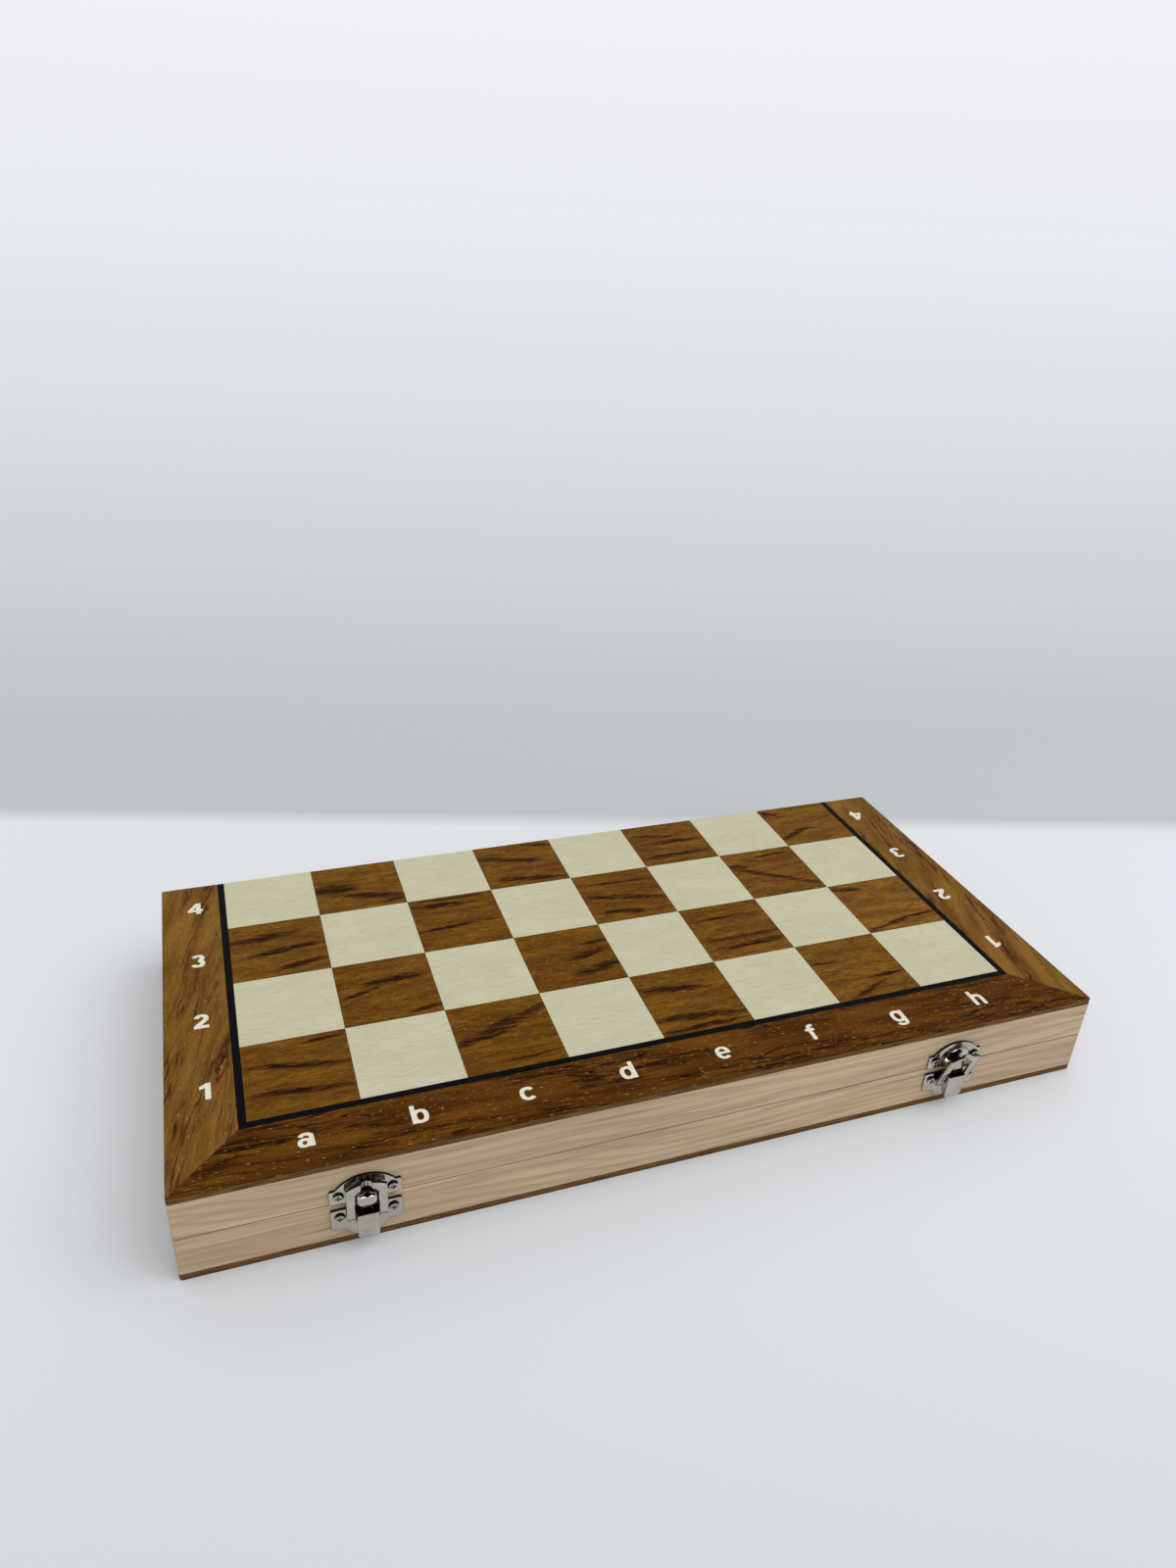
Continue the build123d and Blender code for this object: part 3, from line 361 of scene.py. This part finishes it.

# Border: three mitred strips of mahogany veneer, the front one redder and darker than the sides.
# Dark streaks lie in bundles, aslant on the side strips and along the front one. The open pores
# are short dashes with golden glints painted on them, drawn about twice as wide as the real ones,
# to show at all.
BOARD_HALF = 195.0 * MM
border, tree, shader = start_material("mahogany veneer, sealed matt")
place = add(tree, "TexCoord", {}).outputs["Object"]
parts = add(tree, "SeparateXYZ", {0: place})
aside = add(tree, "Math", {0: parts.outputs[0]}, operation="ABSOLUTE")
to_side = add(tree, "Math", {0: BOARD_HALF, 1: aside.outputs[0]}, operation="SUBTRACT")
front_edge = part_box("top_panel")[0].y
to_front = add(tree, "Math", {0: parts.outputs[1], 1: front_edge}, operation="SUBTRACT")
on_side = add(tree, "Math", {0: to_side.outputs[0], 1: to_front.outputs[0]}, operation="LESS_THAN")
turned = add(tree, "CombineXYZ", {0: parts.outputs[1], 1: parts.outputs[0], 2: parts.outputs[2]})
strip = add(tree, "Mix", {0: on_side.outputs[0], 4: place, 5: turned.outputs[0]}, data_type="VECTOR")
# The two faces of the box lie 41 mm apart, far enough for a different stretch of the pattern
along = add(tree, "Mapping", {"Vector": strip.outputs[1], "Scale": (1, 1, 0.1)}).outputs[0]
wave = grain(tree, along, (55, 14, 1), 2.0)
run = add(tree, "SeparateXYZ", {0: along})
bent = add(tree, "Math", {0: wave, 1: 5 * MM, 2: run.outputs[1]}, operation="MULTIPLY_ADD")
follow = add(tree, "CombineXYZ", {0: run.outputs[0], 1: bent.outputs[0], 2: run.outputs[2]}).outputs[0]
shades = []
for slant, pale, deep, dark, start, end, least in (
        (-0.04, "#693f0b", "#4c2904", "#200d01", 0.38, 0.56, 0.2),
        (0.22, "#835c25", "#694516", "#3c1f0b", 0.47, 0.6, 0.06)):
    satin = grain(tree, follow, (40, 6, 1), 2.0, slant)
    ground = mixed(tree, satin, linear(deep), linear(pale), 0.36, 0.64)
    bundles = grain(tree, follow, (60, 9, 1), 2.0, slant)
    bundled = add(tree, "MapRange", {"Value": bundles, "From Min": start, "From Max": end, "To Min": least})
    lines = contours(tree, follow, (40, 4, 1), 0.06, slant)
    hairs = contours(tree, follow, (14, 1.2, 1), 0.09, slant)
    fine = add(tree, "Math", {0: hairs, 1: 0.55}, operation="MULTIPLY")
    inked = add(tree, "Math", {0: lines, 1: fine.outputs[0]}, operation="MAXIMUM")
    strength = add(tree, "Math", {0: inked.outputs[0], 1: bundled.outputs[0]}, operation="MULTIPLY")
    shades.append(mixed(tree, strength.outputs[0], ground, linear(dark)))
ground = add(tree, "Mix", {0: on_side.outputs[0], 6: shades[0], 7: shades[1]}, data_type="RGBA").outputs[2]
fibre = grain(tree, follow, (6, 0.7, 1), 3.0)
# Painted highlights: golden glints on the open pores, where they catch the light
pore_glints = grain(tree, follow, (2.8, 0.55, 1), 1.0)
worn = add(tree, "MapRange", {"Value": fibre, "From Min": 0.3, "From Max": 0.46, "To Min": 0.72})
pores = add(tree, "Mix", {0: 1.0, 6: ground, 7: worn.outputs[0]}, data_type="RGBA", blend_type="MULTIPLY")
lit = mixed(tree, pore_glints, pores.outputs[2], linear("#a67f44"), 0.66, 0.77)
tree.links.new(lit, shader.inputs["Base Color"])
relief(tree, shader, fibre, 0.04, 0.3)
shader.inputs["Roughness"].default_value = 0.55
shader.inputs["Specular IOR Level"].default_value = 0.03
finish_nodes(border, "top_border_veneer", "bottom_border_veneer")

# Coordinates: letters and figures screen-printed on the border in cream ink, for both players.
# Those at the left and front read from the first rank, the others from the eighth.
INK = 0.02 * MM
VENEER = 0.5 * MM
# Width and height of a sign's box; a letter's is that of a low one, and some rise above it
FIGURE_SIZE = np.array((8.5, 8.9)) * MM
LETTER_SIZE = np.array((6.5, 6.8)) * MM
ink, tree, shader = start_material("screen-printing ink, cream")
place = add(tree, "TexCoord", {}).outputs["Object"]
thin = grain(tree, place, (1.5, 0.8, 1), 4.0)
tree.links.new(mixed(tree, thin, linear("#cfcab6"), linear("#e0dccb"), 0.3, 0.55),
               shader.inputs["Base Color"])
shader.inputs["Roughness"].default_value = 0.6
shader.inputs["Specular IOR Level"].default_value = 0.1

# The strokes of each sign, in shares of a low letter's or a figure's height from its foot. A round
# stroke has its middle, half the outer width and height, the same inside, and start and end in
# degrees. A straight one has its corners.
STROKES = {
    "a": [(-0.02, 0.62, 0.45, 0.40, 0.18, 0.20, 0, 160), (-0.09, 0.31, 0.40, 0.33, 0.13, 0.14, 0, 180),
          (-0.09, 0.31, 0.40, 0.33, 0.13, 0.14, 180, 360),
          ((0.16, 0), (0.47, 0), (0.43, 0.62), (0.16, 0.62))],
    "b": [(0.02, 0.5, 0.48, 0.52, 0.20, 0.30, 0, 180), (0.02, 0.5, 0.48, 0.52, 0.20, 0.30, 180, 360),
          ((-0.5, 0), (-0.22, 0), (-0.22, 1.36), (-0.5, 1.36))],
    "c": [(0, 0.5, 0.49, 0.52, 0.21, 0.30, 38, 322)],
    "d": [(-0.02, 0.5, 0.48, 0.52, 0.20, 0.30, 0, 180), (-0.02, 0.5, 0.48, 0.52, 0.20, 0.30, 180, 360),
          ((0.22, 0), (0.5, 0), (0.5, 1.36), (0.22, 1.36))],
    "e": [(0, 0.5, 0.49, 0.52, 0.21, 0.33, -4, 318),
          ((-0.4, 0.42), (0.48, 0.42), (0.48, 0.59), (-0.4, 0.59))],
    "f": [(0.26, 1.02, 0.38, 0.34, 0.10, 0.13, 88, 180),
          ((0.25, 1.15), (0.38, 1.15), (0.38, 1.35), (0.25, 1.36)),
          ((-0.12, 0), (0.16, 0), (0.16, 1.03), (-0.12, 1.03)),
          ((-0.3, 0.8), (0.36, 0.8), (0.36, 1.0), (-0.3, 1.0))],
    "g": [(-0.02, 0.5, 0.47, 0.52, 0.19, 0.30, 0, 180), (-0.02, 0.5, 0.47, 0.52, 0.19, 0.30, 180, 360),
          ((0.21, 0), (0.48, 0), (0.48, 1.0), (0.21, 1.0)),
          (0.02, 0.01, 0.46, 0.37, 0.19, 0.18, 200, 361)],
    "h": [(0.0, 0.55, 0.46, 0.47, 0.18, 0.24, 0, 165),
          ((-0.46, 0), (-0.18, 0), (-0.18, 1.36), (-0.46, 1.36)),
          ((0.18, 0), (0.46, 0), (0.46, 0.56), (0.18, 0.56))],
    "1": [((0.0, 0), (0.25, 0), (0.25, 1), (0.06, 1), (0.0, 0.95)),
          ((0.06, 1.0), (-0.24, 0.83), (-0.24, 0.63), (0.06, 0.75))],
    "2": [(0, 0.69, 0.34, 0.31, 0.10, 0.12, -38, 172), ((-0.35, 0), (0.35, 0), (0.35, 0.2), (-0.35, 0.2)),
          ((-0.35, 0.16), (0.0, 0.18), (0.28, 0.52), (0.08, 0.62), (-0.31, 0.24))],
    "3": [(-0.01, 0.73, 0.32, 0.28, 0.09, 0.10, -90, 165),
          (-0.01, 0.29, 0.35, 0.30, 0.11, 0.11, -168, 90)],
    "4": [((0.06, 0), (0.31, 0), (0.31, 1), (0.06, 1)),
          ((-0.38, 0.21), (0.42, 0.21), (0.42, 0.41), (-0.38, 0.41)),
          ((-0.38, 0.36), (-0.14, 0.36), (0.1, 0.7), (0.1, 1), (0.04, 1))],
    "5": [((-0.27, 0.79), (0.31, 0.79), (0.31, 1), (-0.27, 1)),
          ((-0.34, 0.44), (-0.1, 0.5), (-0.06, 1), (-0.27, 1)),
          (-0.01, 0.32, 0.35, 0.34, 0.11, 0.13, -165, 138)],
    "6": [(0, 0.32, 0.35, 0.34, 0.11, 0.14, 0, 180), (0, 0.32, 0.35, 0.34, 0.11, 0.14, 180, 360),
          (0.02, 0.6, 0.37, 0.42, 0.13, 0.22, 38, 180),
          ((-0.35, 0.3), (-0.11, 0.3), (-0.11, 0.62), (-0.35, 0.62))],
    "7": [((-0.34, 0.79), (0.34, 0.79), (0.34, 1), (-0.34, 1)),
          ((-0.17, 0), (0.1, 0), (0.34, 0.82), (0.08, 0.82))],
    "8": [(0, 0.74, 0.30, 0.27, 0.08, 0.10, 0, 180), (0, 0.74, 0.30, 0.27, 0.08, 0.10, 180, 360),
          (0, 0.29, 0.35, 0.30, 0.11, 0.11, 0, 180), (0, 0.29, 0.35, 0.30, 0.11, 0.11, 180, 360)],
}
ARC_POINTS = 25
ROUNDNESS = 0.85


def outline(stroke):
    """Corners round one stroke, anticlockwise: as given, or out along a squarish ellipse and back
    along the inner one, where a squarish ellipse has its sine and cosine raised to 0.85."""
    if isinstance(stroke[0], tuple):
        return np.array(stroke, float)
    x, y, wide, high, inner_wide, inner_high, start, end = stroke
    angle = np.radians(np.linspace(start, end, ARC_POINTS))
    curve = np.stack([np.cos(angle), np.sin(angle)], -1)
    curve = np.sign(curve) * np.abs(curve) ** ROUNDNESS
    return np.concatenate([curve * (wide, high), curve[::-1] * (inner_wide, inner_high)]) + (x, y)


def print_signs(name, body, face, upright, signs):
    """Raised print on a face of the box: each stroke of each sign is a flat prism of ink.

    A sign is a character, its middle in X and Y, and whether it reads from the eighth rank. Later
    strokes of a sign lie a fortieth of the ink higher, so that no two faces are in one plane.
    """
    points, faces, start = [], [], 0
    for character, x, y, far_side in signs:
        outlines = [outline(stroke) for stroke in STROKES[character]]
        every = np.concatenate(outlines)[:, 0]
        middle = ((every.min() + every.max()) / 2, 0.5)
        size = FIGURE_SIZE if character.isdigit() else LETTER_SIZE
        turn = upright @ Matrix.Rotation(math.pi if far_side else 0.0, 3, "Z")
        for i, corners in enumerate(outlines):
            count = len(corners)
            flat = np.c_[(corners - middle) * size, np.zeros(count)]
            lifted = flat + (0, 0, INK * (1 + i / 40))
            points.append(np.concatenate([lifted, flat]) @ np.array(turn).T + (x, y, face))
            ring = start + np.arange(count)
            after = np.roll(ring, -1)
            faces += [ring.tolist(), (ring[::-1] + count).tolist()]
            faces += np.stack([ring, ring + count, after + count, after], -1).tolist()
            start += 2 * count
    mesh = bpy.data.meshes.new(name)
    mesh.from_pydata(np.concatenate(points).tolist(), [], faces)
    mesh.materials.append(ink)
    piece = bpy.data.objects.new(name, mesh)
    bpy.context.scene.collection.objects.link(piece)
    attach(piece, body)


# Places in shares of a square, a little off the middles of the squares, as printed
letter_x = FIELD_LEFT + (np.arange(ACROSS) + 0.475) * SQUARE
letter_y = FIELD_FRONT - 0.357 * SQUARE
left_x, right_x = FIELD_LEFT - 0.33 * SQUARE, -FIELD_LEFT + 0.317 * SQUARE
rank_y = FIELD_FRONT + (np.arange(RANKS) + 0.485) * SQUARE
top_signs = [("abcdefgh"[i], letter_x[i], letter_y, False) for i in range(ACROSS)]
top_signs += [(str(i + 1), left_x, rank_y[i], False) for i in range(RANKS)]
top_signs += [(str(i + 1), right_x, rank_y[i], True) for i in range(RANKS)]
top_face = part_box("top_panel")[1].z + VENEER
print_signs("top_coordinates", "top_half", top_face, Matrix.Identity(3), top_signs)
bottom_signs = [("abcdefgh"[i], -letter_x[-1 - i], letter_y, True) for i in range(ACROSS)]
bottom_signs += [(str(8 - i), left_x, rank_y[i], False) for i in range(RANKS)]
bottom_signs += [(str(8 - i), right_x, rank_y[i], True) for i in range(RANKS)]
print_signs("bottom_coordinates", "bottom_half", 0.0, Matrix.Rotation(math.pi, 3, "X"), bottom_signs)

# Latches: each plate, lever and bail is stamped from thin steel sheet and nickel plated bright.
# The sheared edges are rolled over. Parts that look upwards are painted dark, a painted reflection
# of the unlit room, and narrow corners are painted dark as shade. The plates are held to the front
# walls by round-head screws of the same finish.
NOSE_TOP = 27 * MM
# A nose's dome: its length down the front, half its width, and where it fades out behind the front
DOME_LENGTH = 3.3 * MM
DOME_HALF = 1.5 * MM
DOME_DEPTH = 1.5 * MM, 2.5 * MM


def nickel(name, nose=None):
    """Bright nickel plate over steel, whose edges are rounded by eye to 0.9 mm.

    Faces are faintly rippled. Faces and rounded edges that look upwards are painted dark, a painted
    reflection of the unlit room above them, and corners within 3 mm of other metal are painted dark
    as shade. A keeper's nose, given by the middle of its front at the top, and the crown close
    behind it are drawn to a dome: there the normal leans to the side with X, and rises with height
    over the dome's length.
    """
    material, tree, shader = start_material(name)
    place = add(tree, "TexCoord", {}).outputs["Object"]
    ripple = grain(tree, place, (5, 5, 5), 2.0)
    scuffs = grain(tree, place, (0.9, 0.3, 0.3), 4.0)
    normal = add(tree, "Bevel", {"Radius": 0.9 * MM}, samples=16).outputs[0]
    facing = add(tree, "VectorTransform", {0: normal}, vector_type="NORMAL",
                 convert_from="WORLD", convert_to="OBJECT")
    upward = add(tree, "SeparateXYZ", {0: facing.outputs[0]}).outputs[2]
    if nose:
        parts = add(tree, "SeparateXYZ", {0: place})
        flat = add(tree, "MapRange", {"Value": parts.outputs[1], "From Min": nose.y + DOME_DEPTH[0],
                                      "From Max": nose.y + DOME_DEPTH[1]})
        lean = add(tree, "MapRange", {"Value": parts.outputs[0], "From Min": nose.x - DOME_HALF,
                                      "From Max": nose.x + DOME_HALF, "To Min": -0.5, "To Max": 0.1},
                   clamp=False)
        rise = add(tree, "MapRange", {"Value": parts.outputs[2], "From Min": nose.z - DOME_LENGTH,
                                      "From Max": nose.z, "To Max": 2.4}, interpolation_type="SMOOTHSTEP")
        dome = add(tree, "CombineXYZ", {0: lean.outputs[0], 1: -1.0, 2: rise.outputs[0]})
        dome = add(tree, "VectorTransform", {0: dome.outputs[0]}, vector_type="NORMAL",
                   convert_from="OBJECT", convert_to="WORLD")
        normal = add(tree, "Mix", {0: flat.outputs[0], 4: dome.outputs[0], 5: normal},
                     data_type="VECTOR").outputs[1]
        upward = add(tree, "Math", {0: upward, 1: flat.outputs[0]}, operation="MULTIPLY").outputs[0]
    plated = mixed(tree, ripple, linear("#bab2a7"), linear("#ccc5bb"), 0.3, 0.7)
    # Painted reflection: surfaces that look upwards are darkened, for the unlit room above them
    tops_painted_dark = mixed(tree, upward, plated, linear("#26211e"), 0.15, 0.47)
    # Painted shade: within 3 mm of other metal the plate is darkened
    painted_shade_ao = add(tree, "AmbientOcclusion", {"Distance": 3 * MM}, samples=6).outputs["AO"]
    tree.links.new(mixed(tree, painted_shade_ao, linear("#1d1a18"), tops_painted_dark, 0.25, 0.6), shader.inputs["Base Color"])
    worn = add(tree, "MapRange", {"Value": scuffs, "From Min": 0.35, "From Max": 0.75,
                                  "To Min": 0.06, "To Max": 0.17})
    tree.links.new(worn.outputs[0], shader.inputs["Roughness"])
    bump = add(tree, "Bump", {"Distance": 0.08 * MM, "Height": ripple, "Normal": normal})
    tree.links.new(bump.outputs[0], shader.inputs["Normal"])
    shader.inputs["Metallic"].default_value = 1.0
    return material


finish_nodes(nickel("steel, stamped and nickel plated bright"), "keeper_screws", "base_screws",
             *[side + piece for side in ("left_", "right_") for piece in
               ("latch_base", "lever", "bail", "lever_pin", "bail_pin")])
for side in ("left", "right"):
    low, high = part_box(side + "_keeper")
    nose = Vector(((low.x + high.x) / 2, low.y, NOSE_TOP))
    finish_nodes(nickel(f"steel, drawn deep and nickel plated bright, {side}", nose), side + "_keeper")

# Butt hinges: pressed steel leaves, rolled round a drawn pin and zinc plated dull, with
# countersunk screws, let into the back walls' rims.
zinc, tree, shader = start_material("steel, pressed and zinc plated")
place = add(tree, "TexCoord", {}).outputs["Object"]
spangle = grain(tree, place, (2.5, 2.5, 2.5), 3.0)
brushed = grain(tree, place, (8, 0.25, 0.25), 3.0)
tree.links.new(mixed(tree, spangle, linear("#a9aaa6"), linear("#c2c2bd"), 0.35, 0.65),
               shader.inputs["Base Color"])
worn = add(tree, "MapRange", {"Value": brushed, "From Min": 0.3, "From Max": 0.7,
                              "To Min": 0.3, "To Max": 0.5})
tree.links.new(worn.outputs[0], shader.inputs["Roughness"])
relief(tree, shader, brushed, 0.02, 0.2)
shader.inputs["Metallic"].default_value = 1.0
finish_nodes(zinc, "lower_leaf_screws", "upper_leaf_screws",
             *[side + piece for side in ("left_", "right_") for piece in
               ("hinge_lower_leaf", "hinge_upper_leaf", "hinge_pin")])

# Chessmen: turned from boxwood and polished, one side left light and the other stained dark.
# The grain runs along each man, which lies across the tray.
for shade, low, high, line in (("light", "#c8a468", "#dcbd84", "#a98147"),
                               ("dark", "#3a2014", "#55301d", "#20110a")):
    boxwood, tree, shader = start_material(f"boxwood, turned and lacquered, {shade}")
    place = add(tree, "TexCoord", {}).outputs["Object"]
    rings = grain(tree, place, (2.2, 40, 2.2), 3.0)
    fibre = grain(tree, place, (0.4, 9, 0.4), 4.0)
    base = mixed(tree, rings, linear(low), linear(high), 0.35, 0.65)
    tree.links.new(mixed(tree, fibre, linear(line), base, 0.3, 0.48), shader.inputs["Base Color"])
    relief(tree, shader, fibre, 0.02, 0.4)
    shader.inputs["Roughness"].default_value = 0.32
    finish_nodes(boxwood, *[f"{shade}_{kind}" for kind in
                            ("king", "queen", "bishops", "knights", "rooks", "pawns")])

# Stage: a wide pale sheet of paper just under the box, in a bright plain room. A large soft light,
# high on the right, drops a faint shadow to the left, and a window lights the right end and the
# front. Behind the box the paper carries painted shade, like the foot of a wall, and it pales
# again into the distance. Nearer the camera it turns a little darker.
HALF_SHEET = 30.0
SHEET_DROP = 0.05 * MM
# The way from the camera's foot square to the line where the paper changes, and metres along it
AWAY = (0.267, 0.964, 0.0)
FOOT_TO_BOX = 0.413
SEAM = 0.588, 0.606
sheet = bpy.data.meshes.new("paper_sheet")
sheet.from_pydata([(x * HALF_SHEET, y * HALF_SHEET, -SHEET_DROP)
                   for x, y in ((-1, -1), (1, -1), (1, 1), (-1, 1))], [], [(0, 1, 2, 3)])
paper, tree, shader = start_material("paper, matt white")
place = add(tree, "TexCoord", {}).outputs["Object"]
back = add(tree, "VectorMath", {0: place, 1: AWAY}, operation="DOT_PRODUCT")
far = add(tree, "Math", {0: back.outputs["Value"], 1: FOOT_TO_BOX}, operation="ADD").outputs[0]
near = add(tree, "Math", {0: 1.0, 1: far}, operation="DIVIDE").outputs[0]
# Painted shade: past the seam the paper is dark, like a wall's shaded foot, and pales with distance
beyond = mixed(tree, near, linear("#e9ebee"), linear("#bec2c3"), 0.0, 1.35)
close = mixed(tree, far, linear("#cfd2d5"), linear("#dfe2e5"), 0.1, 0.34)
tree.links.new(mixed(tree, far, close, beyond, *SEAM), shader.inputs["Base Color"])
shader.inputs["Roughness"].default_value = 0.9
shader.inputs["Specular IOR Level"].default_value = 0.0
sheet.materials.append(paper)
floor = bpy.data.objects.new("paper_sheet", sheet)
bpy.context.scene.collection.objects.link(floor)

# The room is as pale as the paper at its foot and brightens upwards. In front of the box, from low
# down to overhead, the camera and mirrors see it unlit, and mirrors also see two low lamps there,
# so bright metal shows black bands and glints. The light on matt surfaces stays the same.
DARK_WAY = (0.0, -0.62, 0.785)
LAMP_WAYS = (0.26, -0.90, 0.35), (-0.55, -0.76, 0.35)
LAMP_GLOW = (4.0, 4.0, 4.0, 1.0)
world = bpy.data.worlds.new("bright room")
world.use_nodes = True
tree = world.node_tree
room = tree.nodes["Background"]
direction = add(tree, "TexCoord", {}).outputs["Generated"]
height = add(tree, "SeparateXYZ", {0: direction}).outputs[2]
wall = mixed(tree, height, linear("#e9ebee"), linear("#f2f3f6"), 0.0, 0.14)
seen = add(tree, "LightPath", {})
mirrored = add(tree, "Math", {0: seen.outputs["Is Camera Ray"], 1: seen.outputs["Is Glossy Ray"]},
               operation="MAXIMUM")
unlit = add(tree, "VectorMath", {0: direction, 1: DARK_WAY}, operation="DOT_PRODUCT")
share = add(tree, "MapRange", {"Value": unlit.outputs["Value"], "From Min": 0.6, "From Max": 0.74})
dim = add(tree, "Math", {0: share.outputs[0], 1: mirrored.outputs[0]}, operation="MULTIPLY")
shown = mixed(tree, dim.outputs[0], wall, linear("#08090a"))
for lamp_way in LAMP_WAYS:
    near = add(tree, "VectorMath", {0: direction, 1: lamp_way}, operation="DOT_PRODUCT")
    spot = add(tree, "MapRange", {"Value": near.outputs["Value"], "From Min": 0.97, "From Max": 0.985})
    spot = add(tree, "Math", {0: spot.outputs[0], 1: seen.outputs["Is Glossy Ray"]}, operation="MULTIPLY")
    shown = mixed(tree, spot.outputs[0], shown, LAMP_GLOW)
tree.links.new(shown, room.inputs["Color"])
level = add(tree, "MapRange", {"Value": mirrored.outputs[0], "To Min": 0.9, "To Max": 1.0})
tree.links.new(level.outputs[0], room.inputs["Strength"])
bpy.context.scene.world = world

# The ways in which the two lights shine; the metal doesn't mirror either
SOFT_WAY = Vector((-0.55, 0.25, -0.8))
WINDOW_WAY = Vector((-0.75, 0.55, -0.25))
lamp = bpy.data.lights.new("soft_light", "SUN")
lamp.angle = math.radians(50)
lamp.energy = 0.8
lamp_holder = bpy.data.objects.new("soft_light", lamp)
bpy.context.scene.collection.objects.link(lamp_holder)
lamp_holder.visible_glossy = False
lamp_holder.rotation_mode = "QUATERNION"
lamp_holder.rotation_quaternion = SOFT_WAY.to_track_quat("-Z", "Y")

fill = bpy.data.lights.new("window_light", "AREA")
fill.shape, fill.size, fill.energy = "DISK", 0.6, 1.5
fill_holder = bpy.data.objects.new("window_light", fill)
bpy.context.scene.collection.objects.link(fill_holder)
fill_holder.visible_glossy = False
fill_holder.location = (0.85, -0.65, 0.3)
fill_holder.rotation_mode = "QUATERNION"
fill_holder.rotation_quaternion = WINDOW_WAY.to_track_quat("-Z", "Y")

# Camera: it stands where the photograph was taken, above and to the left of the front. Its axes
# and place were fitted to the corners of the board, the squares and the latches.
camera = bpy.data.cameras.new("camera")
camera.sensor_width = 36.0
camera.lens = 25.18
camera.clip_start = 0.01
holder = bpy.data.objects.new("camera", camera)
bpy.context.scene.collection.objects.link(holder)
right = np.array((0.94428, -0.3257, 0.04755))
down = np.array((-0.11405, -0.45927, -0.88094))
forward = np.array((0.30876, 0.82643, -0.47082))
stand = (-0.158167, -0.384358, 0.345941)
pose = np.eye(4)
pose[:3, 0], pose[:3, 1], pose[:3, 2] = right, -down, -forward
pose[:3, 3] = stand
holder.matrix_world = Matrix(pose.tolist())
bpy.context.scene.camera = holder

bpy.context.scene.view_settings.view_transform = "Standard"
